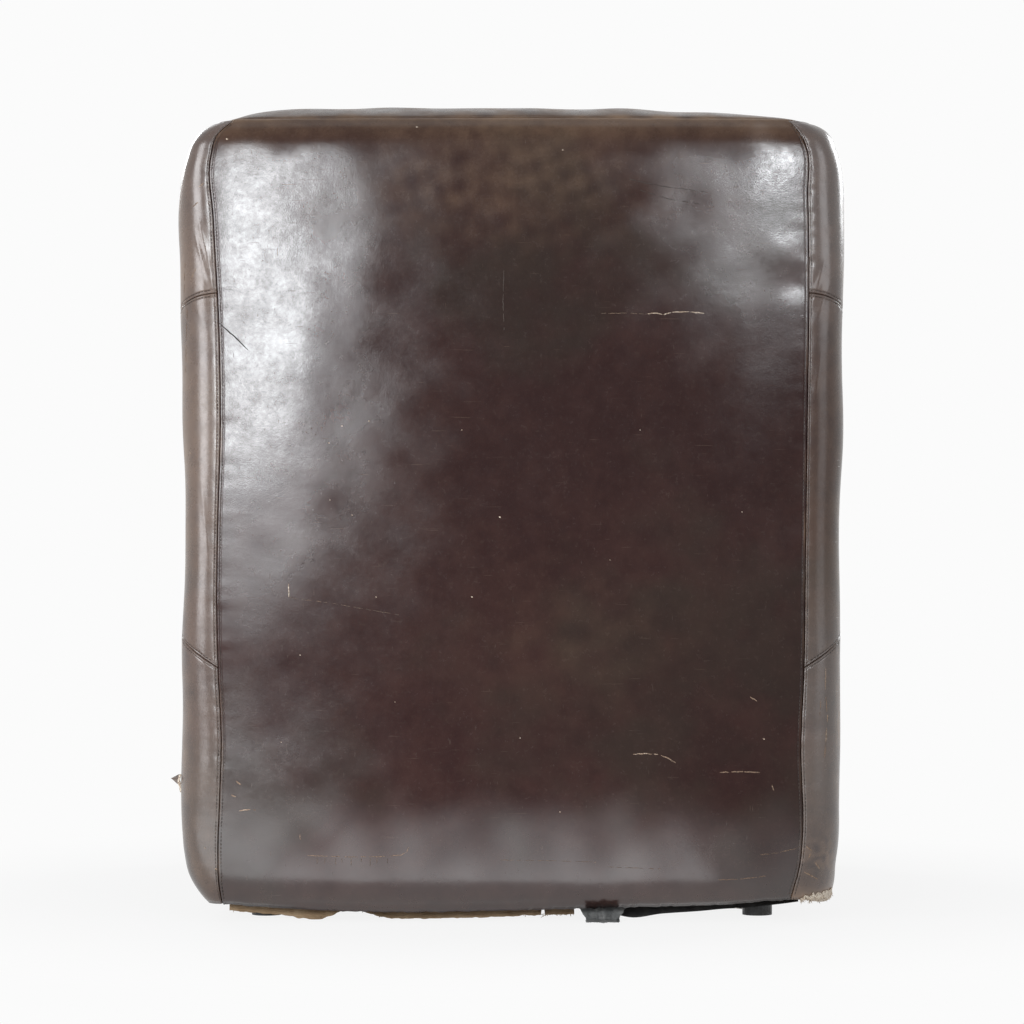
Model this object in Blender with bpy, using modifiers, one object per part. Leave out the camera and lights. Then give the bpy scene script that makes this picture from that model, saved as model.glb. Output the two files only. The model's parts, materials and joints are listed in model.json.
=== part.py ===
"""A worn leather club chair: hardwood frame, springs, padding, leather covers and the torn pieces under it.

The chair faces -Y and stands on Z = 0. Left and right are as seen from behind: left is +X.
"""

import math

import bmesh
import bpy
from mathutils import Vector

# Overall sizes
HALF_WIDTH = 0.375
HALF_DEPTH = 0.400
PANEL_TOP = 0.898
CROWN_RISE = 0.022
GLIDE_RADIUS = 0.017

# Clearances
GAP = 0.0003
SEAM_GAP = 0.0009
SEAM_SPREAD = 0.8
PAD_GAP = 0.0008

# Leather and cloth
LEATHER = 0.0025
CLOTH = 0.0012
CORNER_PAD = 0.008
PAD_INSET = 0.012
PAD_TRIM = 0.040
BACK_PAD = 0.018
ARM_INSIDE_PAD = 0.018
ARM_PAD_INSET = 0.015
ARM_PAD_DROP = 0.010
SIDE_PAD_BOTTOM = 0.100
BAND = 0.012

# The outside back and the strips that turn its rear corners
STRIP = 0.048
STRIP_END = 0.014
CORNER_DEPTH = 0.055
CORNER_RUN = 0.080
PANEL_CROWN = 0.012
TUCK_HEIGHT = 0.160
TUCK_DEPTH = 0.028
ROLL_HEIGHT = 0.028
ROLL_DEPTH = 0.020
WAIST = 0.004
WAIST_HEIGHT = 0.420
WAIST_SPREAD = 0.160
TOP_CORNER_HEIGHT = 0.095
TOP_CORNER_WIDTH = 0.055
LEFT, RIGHT = 1, -1
LEATHER_BOTTOM = {LEFT: 0.0190, RIGHT: 0.0245}
BOTTOM_CORNER_HEIGHT = {LEFT: 0.080, RIGHT: 0.060}
BOTTOM_CORNER_WIDTH = {LEFT: 0.045, RIGHT: 0.030}

# Seams of the side covers, from the rear seam to the front of the back
UPPER_SEAM_REAR = 0.7036
UPPER_SEAM_POWER = 1.6
LOWER_SEAM_REAR = 0.2855
LOWER_SEAM_RISE = 0.050
LOWER_SEAM_RUN = 0.150

# Rows of faces up the covers, from the base to the top
BASE_ROWS = 7
ARM_ROWS = 5
TOP_ROWS = 8

# Arms and seat
ARM_TOP = 0.600
ARM_RADIUS = 0.028
ARM_CROWN = 0.006
ARM_WIDTH = 0.132
BACK_FRONT = 0.150
CUSHION_PROUD = 0.010
CUSHION_TOP = 0.440
CUSHION_CROWN = 0.020
CUSHION_BULGE = 0.004
CUSHION_PLAY = 0.002
BORDER_CROWN = 0.005
BORDER_LIP = 0.018
DECK = 0.016
DECK_SETBACK = 0.005

# Wooden frame
BOARD = 0.025
SIDE_STUFFING = 0.040
FRONT_STUFFING = 0.015
BACK_STUFFING = 0.060
TOP_STUFFING = 0.048
FRAME_HALF_WIDTH = HALF_WIDTH - SIDE_STUFFING
FRAME_FRONT = -HALF_DEPTH + FRONT_STUFFING
FRAME_REAR = HALF_DEPTH - BACK_STUFFING
FRAME_BOTTOM = 0.024
RAIL_TOP = 0.230
POST = 0.040
POST_INSET = 0.005
POST_TOP = PANEL_TOP - TOP_STUFFING
TOP_RAIL = 0.060
BACK_RAIL_INSET = 0.005
LUMBAR_BOTTOM = 0.300
LUMBAR_RAIL = 0.050
ARM_RAIL = 0.020
ARM_FRAME_DROP = 0.045
BLOCK = 0.060
BLOCK_HEIGHT = 0.050

# Springs and webbing
SPRINGS = 5
SPRING_WIRE = 0.0018
SPRING_SWING = 0.022
SPRING_WAVES = 11
STRAPS = 3
STRAP_SPACING = 0.150
STRAP_WIDTH = 0.050
STRAP = 0.0022
STRAP_SHORT = 0.010

# Torn pieces below the cover: each outline point is (x, height of the lower edge)
PANEL_EDGE = [(-0.327, 0.0245), (-0.293, 0.0230), (-0.200, 0.0175), (-0.060, 0.0145), (0.040, 0.0125),
              (0.130, 0.0110), (0.215, 0.0128), (0.327, 0.0190)]
HESSIAN_EDGE = [(-0.070, 0.0065), (-0.010, 0.0050), (0.080, 0.0024), (0.135, 0.0022), (0.195, 0.0090),
                (0.205, 0.0045), (0.262, 0.0060), (0.318, 0.0110)]
HESSIAN_TOP = 0.0400
HESSIAN_SWING = 0.010
HESSIAN_WAVE = 0.002
FLAP_REACH = 0.057
FLAP_TAPER = 0.35
FLAP_BUCKLE = 0.0015
FLAP_LAID = 0.55
FLAP_LEFT = -0.072
FLAP_RIGHT = -0.131
FLAP_FLOOR = 0.0016
SAG_FROM = -0.300
SAG_TO = -0.110
SAG = 0.0140
SAG_DEPTH = 0.021
COVER_INSET = 0.012
COVER_REAR_INSET = 0.003

MATERIALS = {
    "leather": ((0.040, 0.026, 0.022), 0.38, 0.0),
    "wood": ((0.420, 0.270, 0.140), 0.60, 0.0),
    "spring_steel": ((0.350, 0.340, 0.320), 0.40, 1.0),
    "webbing": ((0.300, 0.230, 0.140), 0.90, 0.0),
    "padding": ((0.620, 0.580, 0.480), 0.95, 0.0),
    "hessian": ((0.400, 0.270, 0.150), 0.95, 0.0),
    "dust_cloth": ((0.020, 0.020, 0.021), 0.90, 0.0),
    "grey_cloth": ((0.120, 0.118, 0.115), 0.95, 0.0),
    "glide_plastic": ((0.012, 0.012, 0.013), 0.45, 0.0),
}


def clear_scene():
    for old in list(bpy.data.objects):
        bpy.data.objects.remove(old, do_unlink=True)


def collection(name):
    group = bpy.data.collections.new(name)
    bpy.context.scene.collection.children.link(group)
    return group


clear_scene()
PARTS = collection("club_chair")
CUTTERS = collection("cutters")


def material(name):
    """The finish of one sub-part, made once for each kind of material and part."""
    kind = name.split(":")[0]
    colour, roughness, metallic = MATERIALS[kind]
    made = bpy.data.materials.new(name.replace(":", "_"))
    made.use_nodes = True
    shader = made.node_tree.nodes["Principled BSDF"]
    shader.inputs["Base Color"].default_value = (*colour, 1.0)
    shader.inputs["Roughness"].default_value = roughness
    shader.inputs["Metallic"].default_value = metallic
    return made


def add_object(name, data, kind):
    made = bpy.data.objects.new(name, data)
    data.materials.append(material(kind + ":" + name))
    PARTS.objects.link(made)
    return made


def mesh_from(name, form):
    mesh = bpy.data.meshes.new(name)
    form.to_mesh(mesh)
    form.free()
    return mesh


def box(name, low, high, kind):
    """A board or block between two corners."""
    form = bmesh.new()
    bmesh.ops.create_cube(form, size=1.0)
    size = Vector(high) - Vector(low)
    bmesh.ops.scale(form, vec=size, verts=form.verts)
    made = add_object(name, mesh_from(name, form), kind)
    made.location = (Vector(high) + Vector(low)) / 2
    return made


def patch(name, surface, columns, rows, thickness, outward, kind):
    """A sheet over surface(u, v), its thickness going inwards from the surface."""
    form = bmesh.new()
    bmesh.ops.create_grid(form, x_segments=columns, y_segments=rows, size=0.5)
    for vertex in form.verts:
        vertex.co = surface(vertex.co.x + 0.5, vertex.co.y + 0.5)
    form.normal_update()
    middle = sum((face.normal for face in form.faces), Vector())
    if middle.dot(Vector(outward)) < 0:
        bmesh.ops.reverse_faces(form, faces=form.faces)
    mesh = mesh_from(name, form)
    mesh.shade_smooth()
    made = add_object(name, mesh, kind)
    wall = made.modifiers.new("wall", "SOLIDIFY")
    wall.thickness = thickness
    wall.offset = -1.0
    wall.use_even_offset = True
    return made


def inside(surface, depth, outward):
    """The same surface moved inwards, square to itself."""
    step = 0.004

    def moved(u, v):
        across = surface(min(u + step, 1.0), v) - surface(max(u - step, 0.0), v)
        along = surface(u, min(v + step, 1.0)) - surface(u, max(v - step, 0.0))
        normal = across.cross(along).normalized()
        if normal.dot(Vector(outward)) < 0:
            normal.negate()
        return surface(u, v) - normal * depth

    return moved


def part_of(distance, length):
    return min(max(distance / length, 0.0), 1.0)


def quarter(distance, length, depth):
    """Inset of a quarter-ellipse corner, at a distance into the corner's length."""
    reach = part_of(distance, length)
    return depth * (1.0 - math.sqrt(1.0 - reach * reach))


def along_edge(points, x):
    """Height of a hand-cut edge at x, straight between its points."""
    for (x0, z0), (x1, z1) in zip(points, points[1:]):
        if x <= x1:
            return z0 + (z1 - z0) * part_of(x - x0, x1 - x0)
    return points[-1][1]


def top_reach(z):
    return part_of(z - (PANEL_TOP - TOP_CORNER_HEIGHT), TOP_CORNER_HEIGHT)


def bottom_reach(side, z):
    height = BOTTOM_CORNER_HEIGHT[side]
    return part_of(LEATHER_BOTTOM[side] + height - z, height)


def side_x(side, z):
    """Half width of the chair at a height: upright, a little waisted, with elliptical corners."""
    waist = WAIST * math.exp(-(((z - WAIST_HEIGHT) / WAIST_SPREAD) ** 2))
    top = quarter(top_reach(z), 1.0, TOP_CORNER_WIDTH)
    bottom = quarter(bottom_reach(side, z), 1.0, BOTTOM_CORNER_WIDTH[side])
    return HALF_WIDTH - waist - top - bottom


def seam_x(side, z):
    """Distance of the rear seam from the middle; the strip beside it narrows at both ends."""
    open_top = 1.0 - top_reach(z) ** 2
    open_bottom = 1.0 - bottom_reach(side, z) ** 2
    return side_x(side, z) - STRIP_END - (STRIP - STRIP_END) * open_top * open_bottom


def half_gap(side, z):
    """Half of the rear seam's gap, a little wider where the covers turn over the top and under the base."""
    return SEAM_GAP / 2 * (1.0 + SEAM_SPREAD * max(top_reach(z), bottom_reach(side, z)))


def rear_y(x, z):
    """Rear surface: crowned across, rolled over at the top and tucked under at the bottom."""
    crown = PANEL_CROWN * (x / (HALF_WIDTH - STRIP)) ** 2
    tuck = quarter(LEATHER_BOTTOM[LEFT] + TUCK_HEIGHT - z, TUCK_HEIGHT, TUCK_DEPTH)
    roll = quarter(z - (PANEL_TOP - ROLL_HEIGHT), ROLL_HEIGHT, ROLL_DEPTH)
    return HALF_DEPTH - crown - tuck - roll


def back_level(low, high, v):
    """Heights of the outside back's rows: they meet the rows of the three side covers at the seam."""
    row = v * (BASE_ROWS + ARM_ROWS + TOP_ROWS)
    if row <= BASE_ROWS:
        return low + (LOWER_SEAM_REAR - low) * (1.0 - math.cos(row / BASE_ROWS * math.pi / 2))
    if row <= BASE_ROWS + ARM_ROWS:
        return LOWER_SEAM_REAR + (UPPER_SEAM_REAR - LOWER_SEAM_REAR) * (row - BASE_ROWS) / ARM_ROWS
    share = (row - BASE_ROWS - ARM_ROWS) / TOP_ROWS
    return UPPER_SEAM_REAR + (high - UPPER_SEAM_REAR) * math.sin(share * math.pi / 2)


def back_surface(inset, trim):
    """The outside back between its seams, kept this far from them and trimmed at top and bottom."""
    def point(u, v):
        share = 2.0 * u - 1.0
        side = LEFT if share > 0 else RIGHT
        low = along_edge(PANEL_EDGE, share * (HALF_WIDTH - STRIP)) + trim
        z = back_level(low, PANEL_TOP - trim, v)
        x = share * (seam_x(side, z) - half_gap(side, z) - inset)
        return Vector((x, rear_y(x, z), z))

    return point


def run_to(y):
    """Length of the side's path from the rear seam to a place along the flat side."""
    return CORNER_RUN + rear_y(HALF_WIDTH - STRIP, WAIST_HEIGHT) - CORNER_DEPTH - y


def upper_seam(run):
    """Seam between the back's side and the arm's cover, falling forwards to the arm's shoulder."""
    shoulder = ARM_TOP - ARM_RADIUS
    fall = part_of(run, run_to(BACK_FRONT)) ** UPPER_SEAM_POWER
    return UPPER_SEAM_REAR - (UPPER_SEAM_REAR - shoulder) * fall


def lower_seam(run):
    """Seam between the arm's cover and the base, rising forwards."""
    return LOWER_SEAM_REAR + LOWER_SEAM_RISE * math.sin(part_of(run, LOWER_SEAM_RUN) * math.pi / 2)


def side_point(side, run, z):
    """A point on the side: round the rear corner, then forwards along the flat."""
    turn = part_of(run, CORNER_RUN) * math.pi / 2
    seam = seam_x(side, z) + half_gap(side, z)
    strip = side_x(side, z) - seam
    depth = CORNER_DEPTH * strip / STRIP
    x = seam + strip * math.sin(turn)
    flat = max(run - CORNER_RUN, 0.0)
    drift = rear_y(seam, z) - depth - rear_y(HALF_WIDTH - STRIP, WAIST_HEIGHT) + CORNER_DEPTH
    level = drift * part_of(flat, run_to(BACK_FRONT) - CORNER_RUN)
    y = rear_y(seam, z) - depth * (1.0 - math.cos(turn)) - flat - level
    return Vector((side * x, y, z))


def side_surface(side, ends, low, high):
    """A side cover: its columns share out evenly between the corner and the places where it ends or bends."""
    stops = [0.0, CORNER_RUN] + [run_to(y) for y in ends]
    stages = len(stops) - 1

    def point(u, v):
        stage = min(int(u * stages + 1e-6), stages - 1)
        run = stops[stage] + (stops[stage + 1] - stops[stage]) * (u * stages - stage)
        bottom, top = low(run), high(run)
        z = bottom + (top - bottom) * v
        return side_point(side, run, z)

    return point


def eased(surface, low_end, high_end):
    """The same surface with its rows drawn closer at the rounded ends."""
    def point(u, v):
        if low_end:
            v = 1.0 - math.sin((1.0 - v) * math.pi / 2)
        if high_end:
            v = math.sin(v * math.pi / 2)
        return surface(u, v)

    return point


def cover_front():
    return -HALF_DEPTH + LEATHER + GAP


def outside_back():
    rows = BASE_ROWS + ARM_ROWS + TOP_ROWS
    patch("outside_back_panel", back_surface(0.0, 0.0), 10, rows, LEATHER, (0, 1, 0), "leather")
    backing = inside(back_surface(PAD_INSET, PAD_TRIM), LEATHER + PAD_GAP, (0, 1, 0))
    patch("back_padding", backing, 10, rows, BACK_PAD, (0, 1, 0), "padding")


def side_covers(side, word):
    """Leather round each rear corner: the back's side, the arm's outside and the base's side."""
    outward = (side, 0.3, 0)
    half = SEAM_GAP / 2
    ends = (BACK_FRONT, cover_front())
    upper = side_surface(side, ends[:1], lambda run: upper_seam(run) + half, lambda run: PANEL_TOP)
    patch("back_side_" + word, eased(upper, False, True), 8, TOP_ROWS, LEATHER, outward, "leather")
    middle = side_surface(side, ends, lambda run: lower_seam(run) + half,
                          lambda run: upper_seam(run) - half)
    patch("arm_outside_" + word, middle, 12, ARM_ROWS, LEATHER, outward, "leather")
    lower = side_surface(side, ends, lambda run: LEATHER_BOTTOM[side],
                         lambda run: lower_seam(run) - half)
    patch("base_side_" + word, eased(lower, True, False), 12, BASE_ROWS, LEATHER, outward, "leather")


def corner_padding(side, word):
    """Padding inside each rear corner, against the leather."""
    outward = (side, 0.3, 0)
    low = LEATHER_BOTTOM[side] + BOTTOM_CORNER_HEIGHT[LEFT]
    high = PANEL_TOP - TOP_CORNER_HEIGHT
    surface = side_surface(side, (BACK_FRONT,), lambda run: low, lambda run: high)
    patch("corner_padding_" + word, inside(surface, LEATHER + PAD_GAP, outward), 8, 8, CORNER_PAD, outward,
          "padding")


def sided(side, low, high):
    """Two corners of a box given for the left, mirrored for the right."""
    if side == LEFT:
        return low, high
    return (-high[0], low[1], low[2]), (-low[0], high[1], high[2])


def sided_box(name, side, low, high, kind):
    low, high = sided(side, low, high)
    return box(name, low, high, kind)


def arm_inner():
    return HALF_WIDTH - ARM_WIDTH


def deck_top():
    """Height of the deck, which lies on the springs, which lie on the rails."""
    return RAIL_TOP + 2 * SPRING_WIRE + 2 * GAP + DECK


def arm_surface(side):
    """The arm's cover: from the outer shoulder seam over the crowned top and down inside to the deck."""
    inner = arm_inner()
    shoulder = ARM_TOP - ARM_RADIUS
    outer_centre = HALF_WIDTH - ARM_RADIUS
    inner_centre = inner + ARM_RADIUS
    deck = deck_top() + GAP

    def section(v):
        stage, share = min(int(v * 4), 3), 0.0
        share = v * 4 - stage
        if stage == 0:
            turn = share * math.pi / 2
            x = outer_centre + ARM_RADIUS * math.cos(turn)
            return x, shoulder + ARM_RADIUS * math.sin(turn)
        if stage == 1:
            x = outer_centre + (inner_centre - outer_centre) * share
            return x, ARM_TOP + ARM_CROWN * math.sin(share * math.pi)
        if stage == 2:
            turn = (1.0 + share) * math.pi / 2
            x = inner_centre + ARM_RADIUS * math.cos(turn)
            return x, shoulder + ARM_RADIUS * math.sin(turn)
        return inner, shoulder + (deck - shoulder) * share

    def point(u, v):
        x, z = section(v)
        waist = HALF_WIDTH - side_x(side, shoulder)
        lean = waist * part_of(x - inner_centre, outer_centre - inner_centre)
        z = z + SEAM_GAP * (1.0 - part_of(v * 4, 1.0))
        y = cover_front() + (BACK_FRONT - GAP - cover_front()) * u
        return Vector((side * (x - lean), y, z))

    return point


def arm(side, word):
    """One arm: its leather, the pads under it and the front facing."""
    inner = arm_inner()
    patch("arm_cover_" + word, arm_surface(side), 3, 12, LEATHER, (0, 0, 1), "leather")
    frame_in = inner + LEATHER + GAP + ARM_INSIDE_PAD
    frame_top = ARM_TOP - ARM_FRAME_DROP
    outer_pad = HALF_WIDTH - WAIST - LEATHER - GAP
    sided_box("arm_side_padding_" + word, side, (FRAME_HALF_WIDTH + GAP, FRAME_FRONT, SIDE_PAD_BOTTOM),
              (outer_pad, BACK_FRONT - GAP, frame_top), "padding")
    sided_box("arm_inside_padding_" + word, side, (inner + LEATHER + GAP, FRAME_FRONT, deck_top() + GAP),
              (frame_in - GAP, BACK_FRONT, frame_top), "padding")
    sided_box("arm_top_padding_" + word, side, (inner + ARM_PAD_INSET, FRAME_FRONT, frame_top + GAP),
              (HALF_WIDTH - WAIST - ARM_PAD_INSET, BACK_FRONT, ARM_TOP - ARM_PAD_DROP), "padding")
    sided_box("arm_post_" + word, side, (frame_in, FRAME_FRONT, RAIL_TOP + GAP),
              (FRAME_HALF_WIDTH, FRAME_FRONT + BOARD, frame_top), "wood")
    sided_box("arm_rail_" + word, side, (frame_in, FRAME_FRONT + BOARD + GAP, frame_top - ARM_RAIL),
              (FRAME_HALF_WIDTH, FRAME_REAR - POST - GAP, frame_top), "wood")
    arm_facing(side, word)


def arc(centre_x, centre_z, width, height, start, end, steps):
    """Points of an elliptical corner, angles in quarter turns."""
    turns = [start + (end - start) * n / steps for n in range(steps + 1)]
    return [(centre_x + width * math.cos(t * math.pi / 2), centre_z + height * math.sin(t * math.pi / 2))
            for t in turns]


def arm_facing(side, word):
    """The flat leather at the arm's front, cut to the arm's outline."""
    inner = arm_inner()
    shoulder = ARM_TOP - ARM_RADIUS
    width, height = BOTTOM_CORNER_WIDTH[side], BOTTOM_CORNER_HEIGHT[side]
    outline = arc(HALF_WIDTH - ARM_RADIUS, shoulder, ARM_RADIUS, ARM_RADIUS, 0, 1, 4)
    outline += arc(inner + ARM_RADIUS, shoulder, ARM_RADIUS, ARM_RADIUS, 1, 2, 4)
    outline += [(inner, LEATHER_BOTTOM[side])]
    outline += arc(HALF_WIDTH - width, LEATHER_BOTTOM[side] + height, width, height, 3, 4, 4)
    curve = bpy.data.curves.new("arm_front_" + word, "CURVE")
    curve.dimensions = "2D"
    curve.fill_mode = "BOTH"
    curve.extrude = LEATHER / 2
    spline = curve.splines.new("POLY")
    spline.points.add(len(outline) - 1)
    for place, (x, z) in zip(spline.points, outline):
        place.co = (side * x, z, 0.0, 1.0)
    spline.use_cyclic_u = True
    made = add_object("arm_front_" + word, curve, "leather")
    made.rotation_euler = (math.pi / 2, 0.0, 0.0)
    made.location = (0.0, -HALF_DEPTH + LEATHER / 2, 0.0)


def front_border():
    """Leather across the front of the base, between the arms."""
    half = arm_inner() - SEAM_GAP
    top = RAIL_TOP + BORDER_LIP
    bottom = LEATHER_BOTTOM[LEFT]

    def point(u, v):
        x = half * (2.0 * u - 1.0)
        bulge = BORDER_CROWN * (1.0 - (2.0 * u - 1.0) ** 2) * math.sin(v * math.pi)
        return Vector((x, FRAME_FRONT - LEATHER - GAP - bulge, bottom + (top - bottom) * v))

    patch("front_border", point, 6, 6, LEATHER, (0, -1, 0), "leather")


def top_band():
    """The crown over the back, between the side covers and the outside back."""
    def half_width(y, rear):
        seam = seam_x(LEFT, PANEL_TOP)
        strip = side_x(LEFT, PANEL_TOP) - seam
        depth = CORNER_DEPTH * strip / STRIP
        turned = 1.0 - part_of(rear - y, depth)
        return seam + strip * math.sqrt(1.0 - turned * turned) - SEAM_GAP

    def point(u, v):
        across = 2.0 * u - 1.0
        edge = rear_y(seam_x(LEFT, PANEL_TOP), PANEL_TOP)
        y_edge = BACK_FRONT + (edge - SEAM_GAP - BACK_FRONT) * v
        x = across * half_width(y_edge, edge)
        rear = rear_y(x, PANEL_TOP) - SEAM_GAP
        y = BACK_FRONT + (rear - BACK_FRONT) * v
        rise = CROWN_RISE * (1.0 - across ** 4) * math.sin(math.pi * v) ** 0.7
        return Vector((x, y, PANEL_TOP + rise))

    patch("top_band", eased(point, False, True), 10, 9, BAND, (0, 0, 1), "leather")


def soft_box(name, low, high, crown, kind):
    """A cushion from a coarse cage: rounded edges; its sides, front and top swell by crown (x, y, z)."""
    form = bmesh.new()
    bmesh.ops.create_cube(form, size=2.0)
    bmesh.ops.subdivide_edges(form, edges=form.edges, cuts=3, use_grid_fill=True)
    centre = (Vector(high) + Vector(low)) / 2
    half = (Vector(high) - Vector(low)) / 2
    for vertex in form.verts:
        at = vertex.co.copy()
        spread = [math.copysign(abs(value) ** 0.35, value) if abs(value) > 0.01 else 0.0 for value in at]
        open_part = [1.0 - value * value for value in at]
        swell = (at.x * crown[0] * open_part[1] * open_part[2],
                 min(at.y, 0.0) * crown[1] * open_part[0] * open_part[2],
                 max(at.z, 0.0) * crown[2] * open_part[0] * open_part[1])
        vertex.co = [spread[n] * half[n] + swell[n] for n in range(3)]
    mesh = mesh_from(name, form)
    mesh.shade_smooth()
    made = add_object(name, mesh, kind)
    made.location = centre
    smooth = made.modifiers.new("soft", "SUBSURF")
    smooth.levels = 1
    smooth.render_levels = 1
    return made


def cutter(name, low, high):
    form = bmesh.new()
    bmesh.ops.create_cube(form, size=1.0)
    bmesh.ops.scale(form, vec=Vector(high) - Vector(low), verts=form.verts)
    made = bpy.data.objects.new(name, mesh_from(name, form))
    made.location = (Vector(high) + Vector(low)) / 2
    made.hide_render = True
    made.display_type = "WIRE"
    CUTTERS.objects.link(made)
    return made


def cushions():
    """The loose seat cushion, and the back cushion cut away round the arms."""
    inner = arm_inner()
    bottom = deck_top() + GAP
    front = BACK_FRONT - CUSHION_PROUD
    half = inner - CUSHION_PLAY
    soft_box("seat_cushion", (-half, -HALF_DEPTH + CUSHION_BULGE, bottom), (half, front - GAP, CUSHION_TOP),
             (0.0, CUSHION_BULGE, CUSHION_CROWN), "leather")
    wide = HALF_WIDTH - WAIST - LEATHER - PAD_GAP - CORNER_PAD - 2 * GAP
    back = soft_box("inside_back", (-wide, front, bottom),
                    (wide, FRAME_REAR - POST - STRAP - 2 * GAP, PANEL_TOP - BAND - GAP), (0.0, 0.0, 0.0),
                    "leather")
    for side, word in ((LEFT, "left"), (RIGHT, "right")):
        low, high = sided(side, (inner - 2 * GAP, -HALF_DEPTH, 0.0),
                          (2 * HALF_WIDTH, HALF_DEPTH, ARM_TOP + ARM_CROWN + GAP))
        tool = cutter("arm_space_" + word, low, high)
        cut = back.modifiers.new("cut_" + word, "BOOLEAN")
        cut.object = tool
        cut.operation = "DIFFERENCE"
        cut.solver = "EXACT"


def base_frame():
    """Four rails and the blocks in their corners."""
    bottom = FRAME_BOTTOM
    wide = FRAME_HALF_WIDTH
    box("rail_front", (-wide, FRAME_FRONT, bottom), (wide, FRAME_FRONT + BOARD, RAIL_TOP), "wood")
    box("rail_back", (-wide, FRAME_REAR - BOARD, bottom), (wide, FRAME_REAR, RAIL_TOP), "wood")
    for side, word in ((LEFT, "left"), (RIGHT, "right")):
        sided_box("rail_side_" + word, side, (wide - BOARD, FRAME_FRONT + BOARD + GAP, bottom),
                  (wide, FRAME_REAR - BOARD - GAP, RAIL_TOP), "wood")
        inside_x = wide - BOARD - GAP
        ends = (("front", FRAME_FRONT + BOARD + GAP), ("back", FRAME_REAR - BOARD - GAP - BLOCK))
        for end, y in ends:
            sided_box("corner_block_" + end + "_" + word, side, (inside_x - BLOCK, y, bottom),
                      (inside_x, y + BLOCK, bottom + BLOCK_HEIGHT), "wood")
            glide(side, word, end, inside_x - BLOCK / 2, y + BLOCK / 2)


def glide(side, word, end, x, y):
    """A low round foot under each corner block, flat on the floor and up against the dust cover."""
    name = "glide_" + end + "_" + word
    height = FRAME_BOTTOM - CLOTH - 2 * GAP
    form = bmesh.new()
    bmesh.ops.create_cone(form, cap_ends=True, segments=24, radius1=GLIDE_RADIUS, radius2=GLIDE_RADIUS,
                          depth=height)
    made = add_object(name, mesh_from(name, form), "glide_plastic")
    made.location = (side * x, y, height / 2)


def back_frame():
    """Two posts, the rails between them and the webbing in front."""
    wide = FRAME_HALF_WIDTH - POST_INSET
    for side, word in ((LEFT, "left"), (RIGHT, "right")):
        sided_box("back_post_" + word, side, (wide - POST, FRAME_REAR - POST, RAIL_TOP + GAP),
                  (wide, FRAME_REAR, POST_TOP), "wood")
    between = wide - POST - GAP
    front = FRAME_REAR - POST
    rear = FRAME_REAR - BACK_RAIL_INSET
    box("back_top_rail", (-between, front, POST_TOP - TOP_RAIL), (between, rear, POST_TOP), "wood")
    box("back_lumbar_rail", (-between, front, LUMBAR_BOTTOM), (between, rear, LUMBAR_BOTTOM + LUMBAR_RAIL), "wood")
    for number in range(STRAPS):
        x = (number - (STRAPS - 1) / 2) * STRAP_SPACING
        low = (x - STRAP_WIDTH / 2, front - GAP - STRAP, LUMBAR_BOTTOM + STRAP_SHORT)
        high = (x + STRAP_WIDTH / 2, front - GAP, POST_TOP - STRAP_SHORT)
        box("back_strap_%d" % (number + 1), low, high, "webbing")


def spring(number):
    """One flat zigzag wire from the front rail to the back rail."""
    centre = (number - (SPRINGS - 1) / 2) * 2 * arm_inner() / SPRINGS
    start, end = FRAME_FRONT + BOARD / 2, FRAME_REAR - BOARD / 2
    count = SPRING_WAVES * 4
    name = "seat_spring_%d" % (number + 1)
    curve = bpy.data.curves.new(name, "CURVE")
    curve.dimensions = "3D"
    curve.bevel_depth = SPRING_WIRE
    curve.bevel_resolution = 0
    curve.use_fill_caps = True
    spline = curve.splines.new("POLY")
    spline.points.add(count)
    for index, place in enumerate(spline.points):
        share = index / count
        x = centre + SPRING_SWING * math.sin(2 * math.pi * SPRING_WAVES * share)
        place.co = (x, start + (end - start) * share, 0.0, 1.0)
    made = add_object(name, curve, "spring_steel")
    made.location = (0.0, 0.0, RAIL_TOP + GAP + SPRING_WIRE)


def seat():
    """Springs across the base, and the deck of cloth and felt that lies on them."""
    for number in range(SPRINGS):
        spring(number)
    under = RAIL_TOP + 2 * SPRING_WIRE + 2 * GAP
    half = arm_inner() - CUSHION_PLAY
    box("seat_deck", (-half, FRAME_FRONT + DECK_SETBACK, under), (half, FRAME_REAR - POST * 2, deck_top()),
        "hessian")


def hessian_strip():
    """The under-cover that hangs below the leather along the left of the back, with a torn lower edge."""
    left, right = HESSIAN_EDGE[-1][0], HESSIAN_EDGE[0][0]

    def point(u, v):
        x = right + (left - right) * u
        low = along_edge(HESSIAN_EDGE, x)
        z = low + (HESSIAN_TOP - low) * v
        below = part_of(FRAME_BOTTOM - z, FRAME_BOTTOM)
        wave = HESSIAN_SWING + HESSIAN_WAVE * math.sin(x * 40.0)
        return Vector((x, FRAME_REAR + GAP + CLOTH + wave * below, z))

    patch("hessian_strip", point, 24, 4, CLOTH, (0, 1, 0), "hessian")


def torn_flap():
    """Grey cloth torn loose: it hangs from the base and its end lies on the floor behind the chair."""
    def point(u, v):
        x = FLAP_LEFT + (FLAP_RIGHT - FLAP_LEFT) * (0.5 + (u - 0.5) * (1.0 - FLAP_TAPER * v))
        fall = math.sin(min(v / FLAP_LAID, 1.0) * math.pi / 2)
        z = HESSIAN_TOP - (HESSIAN_TOP - FLAP_FLOOR - CLOTH) * fall
        y = FRAME_REAR + GAP + CLOTH + FLAP_REACH * v
        return Vector((x, y, z + FLAP_BUCKLE * math.sin(u * 7.0) ** 2 * v))

    patch("torn_flap", point, 6, 8, CLOTH, (0, 0.3, 1), "grey_cloth")


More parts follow.
